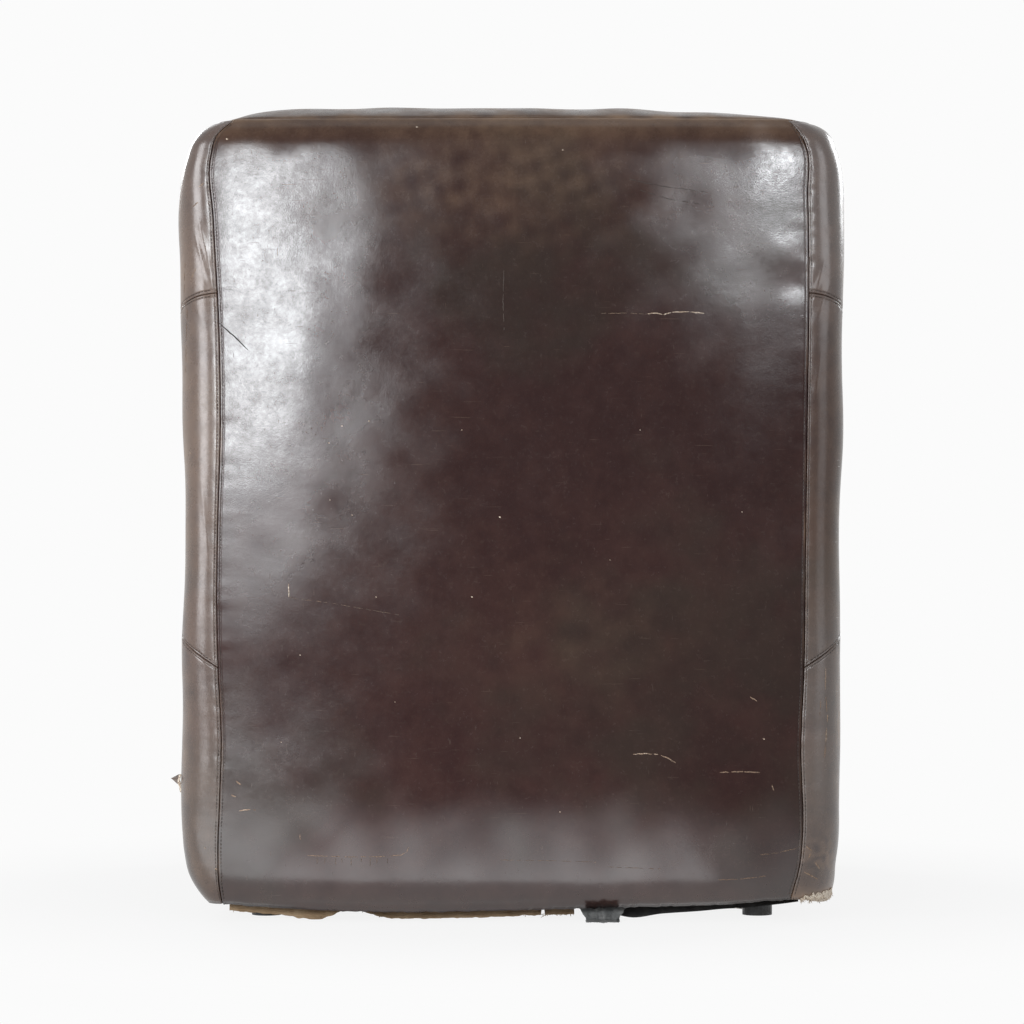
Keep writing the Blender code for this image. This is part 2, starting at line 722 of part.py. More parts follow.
def dust_cover():
    """Black cloth under the frame, sagging along its rear edge where the staples have let go."""
    top = FRAME_BOTTOM - GAP
    half = FRAME_HALF_WIDTH - COVER_INSET
    front = FRAME_FRONT + COVER_INSET
    rear = FRAME_REAR - COVER_REAR_INSET

    def point(u, v):
        x = -half + 2 * half * u
        y = front + (rear - front) * v
        across = math.sin(part_of(x - SAG_FROM, SAG_TO - SAG_FROM) * math.pi) ** 0.6
        depth = SAG * across * part_of(y - (rear - SAG_DEPTH), SAG_DEPTH) ** 1.5
        return Vector((x, y, top - depth))

    def row(u, v):
        return point(u, 1.0 - (1.0 - v) ** 2.5)

    patch("dust_cover", row, 24, 8, CLOTH, (0, 0, 1), "dust_cloth")


def club_chair():
    base_frame()
    back_frame()
    seat()
    for side, word in ((LEFT, "left"), (RIGHT, "right")):
        side_covers(side, word)
        corner_padding(side, word)
        arm(side, word)
    outside_back()
    top_band()
    front_border()
    cushions()
    hessian_strip()
    torn_flap()
    dust_cover()


club_chair()
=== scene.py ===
"""The looks of a worn leather club chair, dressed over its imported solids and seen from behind."""

import json
import math

import bpy
import numpy as np
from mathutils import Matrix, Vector


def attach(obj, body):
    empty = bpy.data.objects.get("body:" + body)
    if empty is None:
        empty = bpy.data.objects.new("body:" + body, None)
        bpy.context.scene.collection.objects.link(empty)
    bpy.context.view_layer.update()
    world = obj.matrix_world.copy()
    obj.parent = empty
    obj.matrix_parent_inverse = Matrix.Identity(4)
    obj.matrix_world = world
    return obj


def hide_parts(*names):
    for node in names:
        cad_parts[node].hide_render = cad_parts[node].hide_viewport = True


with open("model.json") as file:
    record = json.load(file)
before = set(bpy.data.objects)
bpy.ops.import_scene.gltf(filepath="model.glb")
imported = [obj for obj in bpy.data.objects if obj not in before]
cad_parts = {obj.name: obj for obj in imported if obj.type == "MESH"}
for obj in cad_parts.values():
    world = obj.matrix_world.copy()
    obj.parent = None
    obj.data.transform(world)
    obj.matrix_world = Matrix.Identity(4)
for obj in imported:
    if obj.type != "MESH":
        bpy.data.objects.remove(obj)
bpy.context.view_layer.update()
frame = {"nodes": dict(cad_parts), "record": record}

# The photograph's frame: its centre, and the width of a pixel at the chair's back
PHOTO_CENTRE = 512.0
PIXEL = 0.001112
CAMERA_HEIGHT = 0.459
CAMERA_Y = 4.80
LENS = 139.1

# The chair's covers, in metres, as in its solids
HALF_WIDTH = 0.375
HALF_DEPTH = 0.400
PANEL_TOP = 0.898
CROWN = 0.014
TUCK_HEIGHT, TUCK_DEPTH = 0.160, 0.028
ROLL_HEIGHT, ROLL_DEPTH = 0.028, 0.020
STRIP = 0.048
CORNER_DEPTH = 0.055
CORNER_RUN = 0.080
BACK_FRONT = 0.150
ARM_TOP = 0.600
ARM_RADIUS = 0.028
ARM_INNER = 0.243
LEATHER = 0.0020
PAD_SET = 0.0032
CROWN_RISE = 0.022
ARM_CROWN = 0.006
DECK_TOP = 0.2504
LEFT, RIGHT = 1, -1
WORDS = {LEFT: "left", RIGHT: "right"}

# Half widths at heights, read off the outline: (height, half width)
OUTLINE = {
    LEFT: [(0.0190, 0.3415), (0.0290, 0.3505), (0.0480, 0.3629), (0.0740, 0.3697), (0.1000, 0.3722),
           (0.1890, 0.3716), (0.3340, 0.3714), (0.3500, 0.3708), (0.4301, 0.3674), (0.5330, 0.3708),
           (0.5840, 0.3714), (0.7340, 0.3742), (0.8060, 0.3742), (0.8370, 0.3708), (0.8560, 0.3655),
           (0.8780, 0.3550), (0.8900, 0.3420), (0.8980, 0.3200)],
    RIGHT: [(0.0245, 0.3600), (0.0420, 0.3641), (0.0610, 0.3652), (0.0865, 0.3686), (0.1376, 0.3697),
            (0.2000, 0.3713), (0.3020, 0.3701), (0.3900, 0.3689), (0.4880, 0.3700), (0.5390, 0.3720),
            (0.7092, 0.3720), (0.7860, 0.3747), (0.8250, 0.3744), (0.8500, 0.3710), (0.8700, 0.3640),
            (0.8804, 0.3596), (0.8920, 0.3450), (0.8980, 0.3250)],
}
# Distance of the twin-stitched rear seams from the middle: (height, distance)
REAR_SEAM = {
    LEFT: [(0.0190, 0.3250), (0.0353, 0.3276), (0.0742, 0.3288), (0.1376, 0.3264), (0.2000, 0.3245),
           (0.2822, 0.3280), (0.3534, 0.3296), (0.4301, 0.3288), (0.5613, 0.3256), (0.6714, 0.3276),
           (0.7859, 0.3336), (0.8549, 0.3364), (0.8800, 0.3290), (0.8980, 0.3110)],
    RIGHT: [(0.0245, 0.3120), (0.0353, 0.3147), (0.0609, 0.3212), (0.0918, 0.3242), (0.2000, 0.3224),
            (0.2776, 0.3257), (0.4046, 0.3275), (0.5613, 0.3295), (0.7347, 0.3314), (0.8115, 0.3300),
            (0.8682, 0.3275), (0.8840, 0.3200), (0.8980, 0.3080)],
}
# Lower edge of the outside back: (x, height)
BACK_HEM = [(-0.327, 0.0245), (-0.293, 0.0230), (-0.262, 0.0200), (-0.200, 0.0178), (-0.130, 0.0165),
            (-0.060, 0.0145), (0.000, 0.0130), (0.040, 0.0122), (0.090, 0.0112), (0.130, 0.0110),
            (0.215, 0.0128), (0.270, 0.0155), (0.327, 0.0190)]
# How far the dust cover's rear edge sags: (x, drop)
DUST_SAG = [(-0.323, 0.0036), (-0.301, 0.0062), (-0.276, 0.0092), (-0.231, 0.0124), (-0.170, 0.0172),
            (-0.132, 0.0208), (-0.112, 0.0150), (-0.090, 0.0), (0.323, 0.0)]
# Torn lower edge of the hessian: (x, height)
HESSIAN_EDGE = [(-0.070, 0.0065), (-0.010, 0.0050), (0.080, 0.0024), (0.135, 0.0022), (0.195, 0.0090),
                (0.205, 0.0045), (0.262, 0.0060), (0.318, 0.0110)]
UPPER_SEAM_REAR, LOWER_SEAM_REAR = 0.7036, 0.2855
LOWER_SEAM_RISE, LOWER_SEAM_RUN = 0.050, 0.150
STITCH_LINE = 0.0034
STITCH_PITCH = 0.0042
WELT_NEIGHBOURS = 24


def across(pixel):
    """Distance from the middle of a pixel column, at the chair's back."""
    return (PHOTO_CENTRE - pixel) * PIXEL


def up(pixel):
    """Height of a pixel row, at the chair's back."""
    return CAMERA_HEIGHT + (PHOTO_CENTRE - pixel) * PIXEL


def through(points, at):
    """A smooth curve through (place, value) points: cubic between them, its slopes from the neighbours."""
    place, value = np.array(points, float).T
    slope = np.gradient(value, place)
    at = np.clip(at, place[0], place[-1])
    cell = np.clip(np.searchsorted(place, at) - 1, 0, len(place) - 2)
    width = place[cell + 1] - place[cell]
    t = (at - place[cell]) / width
    start = (1 + 2 * t) * (1 - t) ** 2 * value[cell] + t * (1 - t) ** 2 * width * slope[cell]
    end = t * t * (3 - 2 * t) * value[cell + 1] + t * t * (t - 1) * width * slope[cell + 1]
    return start + end


def quarter(distance, length, depth):
    """Inset of a quarter ellipse, at a distance into its length."""
    reach = np.clip(distance / length, 0.0, 1.0)
    return depth * (1.0 - np.sqrt(1.0 - reach * reach))


def ripple(a, b, size, seed, waves=9):
    """Soft uneven swell in -1 to 1: plane waves near one size, in seeded directions and phases, averaged."""
    random = np.random.default_rng(seed)
    total = 0.0
    for _ in range(waves):
        turn = random.uniform(0, 2 * np.pi)
        rate = 2 * np.pi / (size * random.uniform(0.7, 1.5))
        total = total + np.sin(rate * (a * np.cos(turn) + b * np.sin(turn)) + random.uniform(0, 2 * np.pi))
    return total / math.sqrt(waves) / 1.2


def spot(a, b, centre_a, centre_b, size_a, size_b):
    """A bell-shaped spot, 1 at its centre."""
    return np.exp(-(((a - centre_a) / size_a) ** 2) - ((b - centre_b) / size_b) ** 2)


def half_width(side, z):
    """Distance of the side's outline from the middle at a height."""
    return through(OUTLINE[side], z)


def rear_seam(side, z):
    """Distance of the rear seam from the middle at a height."""
    return through(REAR_SEAM[side], z)


# Swells and dents of the outside back: (pixel x, pixel y, half size x, half size y, height in metres)
BACK_SWELLS = [
    (300, 230, 90, 90, 0.0016), (290, 440, 80, 110, 0.0018), (255, 335, 60, 30, -0.0008),
    (760, 200, 60, 70, 0.0016), (794, 282, 16, 14, -0.0010), (786, 252, 22, 16, 0.0007),
    (512, 560, 170, 150, 0.0010), (700, 560, 70, 160, 0.0008), (330, 700, 90, 70, -0.0008),
    (500, 180, 120, 40, -0.0007),
]


def rear_y(x, z):
    """The outside back: crowned across by a cube law, rolled over at the top, tucked under at the base,
    with the swells and dents of padding that has shifted."""
    crown = CROWN * np.abs(x / (HALF_WIDTH - STRIP)) ** 3
    tuck = quarter(0.019 + TUCK_HEIGHT - z, TUCK_HEIGHT, TUCK_DEPTH)
    roll = quarter(z - (PANEL_TOP - ROLL_HEIGHT), ROLL_HEIGHT, ROLL_DEPTH)
    swell = 0.0006 * ripple(x, z, 0.16, 3) + 0.00006 * ripple(x, z, 0.045, 4)
    for column, row, wide, high, height in BACK_SWELLS:
        swell = swell + height * spot(x, z, across(column), up(row), wide * PIXEL, high * PIXEL)
    return HALF_DEPTH - crown - tuck - roll + swell


def run_to(y):
    """Length of the side's path from the rear seam to a place on the flat."""
    return CORNER_RUN + HALF_DEPTH - CROWN - CORNER_DEPTH - y


def side_points(side, run, z):
    """The side covers: a quarter ellipse from the rear seam to the outline, then straight forwards."""
    turn = np.clip(run / CORNER_RUN, 0.0, 1.0) * np.pi / 2
    seam = rear_seam(side, z)
    strip = half_width(side, z) - seam
    depth = CORNER_DEPTH * np.clip(strip / STRIP, 0.1, 1.0)
    rear = rear_y(side * seam, z)
    flat = np.maximum(run - CORNER_RUN, 0.0)
    drift = rear - depth - (HALF_DEPTH - CROWN - CORNER_DEPTH)
    level = drift * np.clip(flat / (run_to(BACK_FRONT) - CORNER_RUN), 0.0, 1.0)
    y = rear - depth * (1.0 - np.cos(turn)) - flat - level
    out = 0.0010 * ripple(y, z, 0.14, 11 + side) * np.clip(run / 0.03, 0, 1)
    return np.stack([side * (seam + strip * np.sin(turn) + out * np.sin(turn)), y, z], -1)


def upper_seam(run):
    """Height of the curved seam between the back's side and the arm, along the side's path."""
    fall = np.clip(run / run_to(BACK_FRONT), 0.0, 1.0) ** 1.6
    return UPPER_SEAM_REAR - (UPPER_SEAM_REAR - ARM_TOP + ARM_RADIUS) * fall


def lower_seam(run):
    """Height of the seam between the arm's side and the base, along the side's path."""
    return LOWER_SEAM_REAR + LOWER_SEAM_RISE * np.sin(np.clip(run / LOWER_SEAM_RUN, 0.0, 1.0) * np.pi / 2)


# Building meshes

SEAM_STEPS = np.array([0.0, 0.0003, 0.0007, 0.0012, 0.0018, 0.0024, 0.0029, 0.0034, 0.0039, 0.0045, 0.0056,
                       0.0075,                        0.0105])


def spaced(low, high, count, seam_low=True, seam_high=True):
    """Places from low to high, close together beside each seam and even between; arrays give a row each."""
    low, high = np.broadcast_arrays(np.asarray(low, float), np.asarray(high, float))
    start = low + SEAM_STEPS[:, None] if seam_low else low[None, :]
    end = (high - SEAM_STEPS[:, None])[::-1] if seam_high else high[None, :]
    share = np.linspace(0, 1, count + 2)[1:-1, None]
    middle = start[-1] + (end[0] - start[-1]) * share
    return np.concatenate([start, middle, end])


def unit_normals(points, outward):
    """Unit normals of a grid of points, from the cross product of its two directions."""
    along = np.gradient(points, axis=0)
    beside = np.gradient(points, axis=1)
    normal = np.cross(along, beside)
    normal /= np.maximum(np.linalg.norm(normal, axis=-1, keepdims=True), 1e-12)
    middle = normal[points.shape[0] // 2, points.shape[1] // 2]
    return normal if np.dot(middle, outward) > 0 else -normal


def seam_drop(distance):
    """How far leather lies below its face near a seam: a rolled edge, and a dent under each line of
    stitches."""
    edge = np.clip(1.0 - distance / 0.0024, 0.0, 1.0)
    rolled = 0.0020 * (1.0 - np.sqrt(1.0 - 0.98 * edge * edge))
    return rolled + 0.00050 * np.exp(-(((distance - STITCH_LINE) / 0.0007) ** 2))


def pucker(distance, along, seed):
    """Small gathers beside a seam, dying away from it."""
    return 0.00035 * np.exp(-distance / 0.010) * ripple(along, 0 * along, 0.013, seed, 6)


def grid_faces(rows, columns, wrap=False):
    """Corner numbers of the quads of a grid, optionally joined round its columns."""
    number = np.arange(rows * columns).reshape(rows, columns)
    if wrap:
        number = np.concatenate([number, number[:, :1]], 1)
    return np.stack([number[:-1, :-1], number[:-1, 1:], number[1:, 1:], number[1:, :-1]], -1).reshape(-1, 4)


def new_piece(name, points, faces, material, attributes=None):
    """An object at the origin from points and faces, smooth shaded, with values painted on its points."""
    mesh = bpy.data.meshes.new(name)
    mesh.from_pydata(points.reshape(-1, 3).tolist(), [], [list(map(int, face)) for face in faces])
    mesh.update()
    for label, values in (attributes or {}).items():
        painted = mesh.attributes.new(label, "FLOAT", "POINT")
        painted.data.foreach_set("value", np.ascontiguousarray(values, np.float32).reshape(-1))
    mesh.shade_smooth()
    mesh.materials.append(material)
    piece = bpy.data.objects.new(name, mesh)
    bpy.context.scene.collection.objects.link(piece)
    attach(piece, "root")
    return piece


def sheet_piece(name, points, outward, material, attributes=None, thickness=LEATHER):
    """A sheet on a grid of points, its thickness behind the face."""
    rows, columns = points.shape[:2]
    faces = grid_faces(rows, columns)
    along, beside = np.gradient(points, axis=0), np.gradient(points, axis=1)
    middle = np.cross(beside, along)[rows // 2, columns // 2]
    if np.dot(middle, outward) < 0:
        faces = faces[:, ::-1]
    piece = new_piece(name, points, faces, material, attributes)
    wall = piece.modifiers.new("wall", "SOLIDIFY")
    wall.thickness = thickness
    wall.offset = -1.0
    return piece


def swept(path, normals, wide, high, sides=6):
    """A closed tube along a path: each section an ellipse, wide across the surface and high along its
    normal."""
    tangent = np.gradient(path, axis=0)
    tangent /= np.maximum(np.linalg.norm(tangent, axis=1, keepdims=True), 1e-9)
    across_way = np.cross(normals, tangent)
    across_way /= np.maximum(np.linalg.norm(across_way, axis=1, keepdims=True), 1e-9)
    up_way = np.cross(tangent, across_way)
    turn = np.linspace(0.0, 2 * np.pi, sides, endpoint=False)[None, :, None]
    wide = np.broadcast_to(wide, len(path))[:, None, None]
    high = np.broadcast_to(high, len(path))[:, None, None]
    ring = path[:, None] + across_way[:, None] * np.cos(turn) * wide + up_way[:, None] * np.sin(turn) * high
    faces = [list(face) for face in grid_faces(len(path), sides, True)]
    faces.append(list(range(sides))[::-1])
    faces.append(list(range((len(path) - 1) * sides, len(path) * sides)))
    return ring.reshape(-1, 3), faces


def joined(name, tubes, material, label="", values=()):
    """One piece from many closed tubes, each with its own painted value."""
    points, faces, painted_values, start = [], [], [], 0
    for index, (ring, loops) in enumerate(tubes):
        points.append(ring)
        faces += [[corner + start for corner in loop] for loop in loops]
        if label:
            painted_values.append(np.full(len(ring), values[index]))
        start += len(ring)
    attributes = {label: np.concatenate(painted_values)} if label else None
    return new_piece(name, np.concatenate(points), faces, material, attributes)


def stitched(name, lines, piece_pitch=STITCH_PITCH):
    """Rows of stitches: every stitch a short closed grain, thickest in its middle, along a line of (points,
    normals). All grains are worked out together: centre, direction and normal at equal steps along each
    line."""
    rings = np.array([-1.0, -0.62, 0.0, 0.62, 1.0])
    girth = np.array([0.25, 0.85, 1.0, 0.85, 0.25]) * 0.00042
    sides = 6
    turn = np.linspace(0, 2 * np.pi, sides, endpoint=False)
    pieces = []
    for points, normals in lines:
        length = np.concatenate([[0.0], np.cumsum(np.linalg.norm(np.diff(points, axis=0), axis=1))])
        at = np.arange(piece_pitch, length[-1] - piece_pitch, piece_pitch)
        centre = np.stack([np.interp(at, length, points[:, n]) for n in range(3)], -1)
        ahead = np.stack([np.interp(at + 0.0005, length, points[:, n]) for n in range(3)], -1)
        normal = np.stack([np.interp(at, length, normals[:, n]) for n in range(3)], -1)
        way = ahead - centre
        way /= np.linalg.norm(way, axis=1, keepdims=True)
        beside = np.cross(normal, way)
        beside /= np.linalg.norm(beside, axis=1, keepdims=True)
        rise = np.cross(way, beside)
        ends = centre[:, None] + way[:, None] * (rings * 0.38 * piece_pitch)[None, :, None]
        spread = beside[:, None, None] * np.cos(turn)[:, None] + rise[:, None, None] * np.sin(turn)[:, None]
        pieces.append(ends[:, :, None] + spread * girth[None, :, None, None])
    grains = np.concatenate(pieces).reshape(-1, len(rings) * sides, 3)
    one = [list(face) for face in grid_faces(len(rings), sides, True)]
    one.append(list(range(sides))[::-1])
    quads = np.array(one[:-1])
    caps = np.array([one[-1], list(range((len(rings) - 1) * sides, len(rings) * sides))])
    step = (np.arange(len(grains)) * len(rings) * sides)[:, None, None]
    faces = (quads[None] + step).reshape(-1, 4).tolist() + (caps[None] + step).reshape(-1, sides).tolist()
    piece = new_piece(name, grains.reshape(-1, 3), faces, THREAD)
    return piece


# Materials

def node(tree, kind, inputs=None, **settings):
    """A shader node with its settings made and its inputs set or linked."""
    made = tree.nodes.new("ShaderNode" + kind)
    for key, value in settings.items():
        setattr(made, key, value)
    for key, value in (inputs or {}).items():
        if isinstance(value, bpy.types.NodeSocket):
            tree.links.new(value, made.inputs[key])
        else:
            made.inputs[key].default_value = value
    return made


def start_material(name, roughness, **plain):
    """A material with its shader's plain values set, and the object's own coordinates."""
    material = bpy.data.materials.new(name)
    material.use_nodes = True
    tree = material.node_tree
    shader = tree.nodes["Principled BSDF"]
    shader.inputs["Roughness"].default_value = roughness
    for key, value in plain.items():
        shader.inputs[key.replace("_", " ")].default_value = value
    place = node(tree, "TexCoord").outputs["Object"]
    return material, tree, shader, place


def noise(tree, place, scale, detail=4.0, rough=0.55, stretch=(1, 1, 1), move=(0, 0, 0)):
    """Noise in the piece's own coordinates, stretched or moved."""
    if stretch != (1, 1, 1) or move != (0, 0, 0):
        place = node(tree, "Mapping", {"Vector": place, "Scale": stretch, "Location": move}).outputs[0]
    settings = {"Vector": place, "Scale": scale, "Detail": detail, "Roughness": rough}
    return node(tree, "TexNoise", settings).outputs["Fac"]


def span(tree, value, low, high, to_low=0.0, to_high=1.0):
    """A value's range from low to high mapped to another range, held at its ends."""
    return node(tree, "MapRange", {"Value": value, "From Min": low, "From Max": high, "To Min": to_low,
                                   "To Max": to_high}, interpolation_type="SMOOTHSTEP").outputs["Result"]


def maths(tree, operation, a, b=0.0):
    """One sum of two values or sockets."""
    made = node(tree, "Math", {0: a, 1: b}, operation=operation)
    return made.outputs[0]


def blend(tree, factor, first, second, mode="MIX"):
    """Two colours mixed by a factor."""
    made = node(tree, "Mix", {"Factor": factor}, data_type="RGBA", blend_type=mode)
    for index, colour in ((6, first), (7, second)):
        if isinstance(colour, bpy.types.NodeSocket):
            tree.links.new(colour, made.inputs[index])
        else:
            made.inputs[index].default_value = (*colour, 1.0)
    return made.outputs[2]


def bump(tree, height, distance, strength=1.0, normal=None):
    """A normal tilted by a height, over another bump where one is given."""
    inputs = {"Height": height, "Distance": distance, "Strength": strength}
    if normal is not None:
        inputs["Normal"] = normal
    return node(tree, "Bump", inputs).outputs["Normal"]


def painted(tree, label):
    """A value painted on the piece's points."""
    return node(tree, "Attribute", attribute_name=label).outputs["Fac"]


# The share of its shine that leather has lost where it is wholly dry
DRY_LOSS = 0.84


def hide_leather(name):
    """Dark waxed hide: reddish and greenish brown in clouds, tan where rubbed and where a painted highlight
    is laid on, its gloss broken in patches, with fine pores, soft creases and hairline scratches."""
    material, tree, shader, place = start_material(name, 0.36, Specular_IOR_Level=1.0)
    cloud = noise(tree, place, 6.0, 5.0, 0.62)
    mottle = noise(tree, place, 42.0, 5.0, 0.62)
    speckle = noise(tree, place, 230.0, 3.0, 0.6)
    tone = maths(tree, "ADD", maths(tree, "MULTIPLY", cloud, 0.55), maths(tree, "MULTIPLY", mottle, 0.45))
    colour = blend(tree, span(tree, tone, 0.36, 0.66), (0.0225, 0.0072, 0.0064), (0.0365, 0.0145, 0.0120))
    green = noise(tree, place, 4.5, 4.0, 0.55, move=(3.1, 0.4, 1.7))
    colour = blend(tree, span(tree, green, 0.50, 0.68, 0.0, 0.45), colour, (0.0260, 0.0210, 0.0150))
    colour = blend(tree, span(tree, speckle, 0.55, 0.74, 0.0, 0.30), colour, (0.050, 0.031, 0.024))
    pale_share = painted(tree, "pale_share")
    broken = maths(tree, "MULTIPLY", pale_share, span(tree, tone, 0.34, 0.62, 0.55, 1.25))
    # This tan is rubbed wear, and on the outside back's top edge and corners also a painted highlight
    colour = blend(tree, maths(tree, "MINIMUM", broken, 1.0), colour, (0.235, 0.150, 0.095))
    scratch = noise(tree, place, 26.0, 2.0, 0.5, stretch=(1.0, 1.0, 34.0))
    slant = noise(tree, place, 22.0, 2.0, 0.5, stretch=(30.0, 1.0, 3.0), move=(2.0, 0.0, 5.0))
    hairs = maths(tree, "MAXIMUM", span(tree, scratch, 0.735, 0.76), span(tree, slant, 0.745, 0.77))
    colour = blend(tree, maths(tree, "MULTIPLY", hairs, 0.30), colour, (0.14, 0.095, 0.07))
    tree.links.new(colour, shader.inputs["Base Color"])
    haze = noise(tree, place, 55.0, 6.0, 0.70, move=(1.3, 2.2, 0.6))
    gloss = span(tree, haze, 0.34, 0.70, 0.18, 0.27)
    gloss = maths(tree, "ADD", gloss, maths(tree, "MULTIPLY", pale_share, 0.20))
    gloss = maths(tree, "ADD", gloss, span(tree, speckle, 0.30, 0.72, -0.015, 0.03))
    tree.links.new(gloss, shader.inputs["Roughness"])
    waxed = maths(tree, "SUBTRACT", 1.0, maths(tree, "MULTIPLY", painted(tree, "dry"), DRY_LOSS))
    tree.links.new(waxed, shader.inputs["Specular IOR Level"])
    pores = node(tree, "TexVoronoi", {"Vector": place, "Scale": 640.0, "Randomness": 1.0},
                 feature="F1").outputs["Distance"]
    folds = noise(tree, place, 110.0, 4.0, 0.6)
    fine = bump(tree, pores, 0.00012, 0.20)
    soft = bump(tree, folds, 0.0005, 0.14, fine)
    wide = bump(tree, mottle, 0.0014, 0.10, soft)
    cut = bump(tree, maths(tree, "SUBTRACT", 1.0, hairs), 0.00012, 0.5, wide)
    tree.links.new(cut, shader.inputs["Normal"])
    return material


def plain_cloth(name, colour, pale, thread, roughness=0.9):
    """Woven cloth: crossed threads with a dusty unevenness."""
    material, tree, shader, place = start_material(name, roughness)
    dust = noise(tree, place, 60.0, 5.0, 0.65)
    warp = node(tree, "TexWave", {"Vector": place, "Scale": thread, "Distortion": 1.2, "Detail": 2.0,
                                  "Detail Scale": 2.0}, bands_direction="X").outputs["Fac"]
    weft = node(tree, "TexWave", {"Vector": place, "Scale": thread, "Distortion": 1.2, "Detail": 2.0,
                                  "Detail Scale": 2.0}, bands_direction="Z").outputs["Fac"]
    weave = maths(tree, "MAXIMUM", warp, weft)
    colour = blend(tree, span(tree, dust, 0.35, 0.70), colour, pale)
    colour = blend(tree, maths(tree, "MULTIPLY", weave, 0.35), colour, tuple(0.45 * c for c in pale))
    tree.links.new(colour, shader.inputs["Base Color"])
    tree.links.new(bump(tree, weave, 0.0004, 0.6), shader.inputs["Normal"])
    return material


def raw_wood(name):
    """Sawn hardwood: growth lines along each board, stained and dusty."""
    material, tree, shader, place = start_material(name, 0.62)
    lines = node(tree, "TexWave", {"Vector": place, "Scale": 9.0, "Distortion": 5.0, "Detail": 3.0,
                                   "Detail Scale": 1.2}, bands_direction="Y").outputs["Fac"]
    stain = noise(tree, place, 14.0, 4.0, 0.6)
    colour = blend(tree, lines, (0.42, 0.27, 0.14), (0.27, 0.155, 0.075))
    colour = blend(tree, span(tree, stain, 0.45, 0.75, 0.0, 0.5), colour, (0.13, 0.085, 0.05))
    tree.links.new(colour, shader.inputs["Base Color"])
    tree.links.new(bump(tree, lines, 0.0005, 0.4), shader.inputs["Normal"])
    return material


def felt(name, colour, pale):
    """Fibrous wadding."""
    material, tree, shader, place = start_material(name, 0.95)
    fibre = noise(tree, place, 160.0, 6.0, 0.7)
    tree.links.new(blend(tree, span(tree, fibre, 0.35, 0.65), colour, pale), shader.inputs["Base Color"])
    tree.links.new(bump(tree, fibre, 0.0015, 0.7), shader.inputs["Normal"])
    return material


def wire_steel(name):
    """Dull grey steel with a spotted gloss."""
    material, tree, shader, place = start_material(name, 0.42, Metallic=1.0)
    rust = noise(tree, place, 120.0, 4.0, 0.6)
    colour = blend(tree, span(tree, rust, 0.50, 0.72), (0.35, 0.34, 0.32), (0.16, 0.07, 0.03))
    tree.links.new(colour, shader.inputs["Base Color"])
    tree.links.new(span(tree, rust, 0.4, 0.7, 0.35, 0.7), shader.inputs["Roughness"])
    return material


def glide_plastic(name):
    """Black moulded plastic, greyed with scuffs and dust."""
    material, tree, shader, place = start_material(name, 0.45)
    scuff = noise(tree, place, 140.0, 4.0, 0.65)
    colour = blend(tree, span(tree, scuff, 0.50, 0.72), (0.012, 0.012, 0.013), (0.075, 0.070, 0.064))
    tree.links.new(colour, shader.inputs["Base Color"])
    tree.links.new(span(tree, scuff, 0.4, 0.7, 0.35, 0.65), shader.inputs["Roughness"])
    tree.links.new(bump(tree, scuff, 0.0003, 0.5), shader.inputs["Normal"])
    return material


def sewing_thread(name):
    """Waxed brown thread, with its twist."""
    material, tree, shader, place = start_material(name, 0.55)
    twist = node(tree, "TexWave", {"Vector": place, "Scale": 420.0, "Distortion": 0.5},
                 bands_direction="DIAGONAL").outputs["Fac"]
    pale_share = noise(tree, place, 90.0, 3.0, 0.6)
    colour = blend(tree, span(tree, pale_share, 0.45, 0.70), (0.030, 0.021, 0.017), (0.11, 0.075, 0.052))
    tree.links.new(blend(tree, maths(tree, "MULTIPLY", twist, 0.5), colour, (0.018, 0.012, 0.010)),
                   shader.inputs["Base Color"])
    tree.links.new(bump(tree, twist, 0.0001, 0.6), shader.inputs["Normal"])
    return material


def lifted_hide_and_crease_shade(name):
    """Raised fibres of a scratch, from dark to pale by the tone painted on it; dark tones also serve as
    painted shade along creases.
    """
    material, tree, shader, place = start_material(name, 0.62)
    fleck = noise(tree, place, 900.0, 3.0, 0.7)
    tone = maths(tree, "MULTIPLY", painted(tree, "tone"), span(tree, fleck, 0.32, 0.62, 0.45, 1.1))
    ramp = node(tree, "ValToRGB", {"Fac": tone})
    stops = ((0.0, (0.012, 0.009, 0.008)), (0.35, (0.060, 0.040, 0.030)), (0.7, (0.30, 0.19, 0.12)),
             (1.0, (0.80, 0.70, 0.58)))
    while len(ramp.color_ramp.elements) < len(stops):
        ramp.color_ramp.elements.new(0.5)
    for element, (at, colour) in zip(ramp.color_ramp.elements, stops):
        element.position = at
        element.color = (*colour, 1.0)
    tree.links.new(ramp.outputs["Color"], shader.inputs["Base Color"])
    tree.links.new(bump(tree, fleck, 0.0002, 0.6), shader.inputs["Normal"])
    return material


HIDE = hide_leather("waxed_hide")
FIBRES_AND_CREASE_SHADE = lifted_hide_and_crease_shade("lifted_fibres_and_crease_shade")
THREAD = sewing_thread("waxed_thread")
HESSIAN = plain_cloth("hessian_weave", (0.36, 0.235, 0.13), (0.52, 0.37, 0.23), 190.0)
DUST_CLOTH = plain_cloth("dust_cloth_weave", (0.016, 0.016, 0.017), (0.060, 0.058, 0.056), 260.0)
GREY_CLOTH = plain_cloth("grey_torn_cloth", (0.155, 0.160, 0.160), (0.33, 0.33, 0.32), 230.0)
WEBBING = plain_cloth("jute_webbing", (0.26, 0.19, 0.11), (0.40, 0.31, 0.19), 120.0)
WOOD = raw_wood("sawn_hardwood")
PADDING = felt("cotton_felt", (0.50, 0.46, 0.38), (0.66, 0.62, 0.53))
WIRE = wire_steel("spring_wire")
GLIDE = glide_plastic("scuffed_glide")
STAPLE = wire_steel("dull_staple")


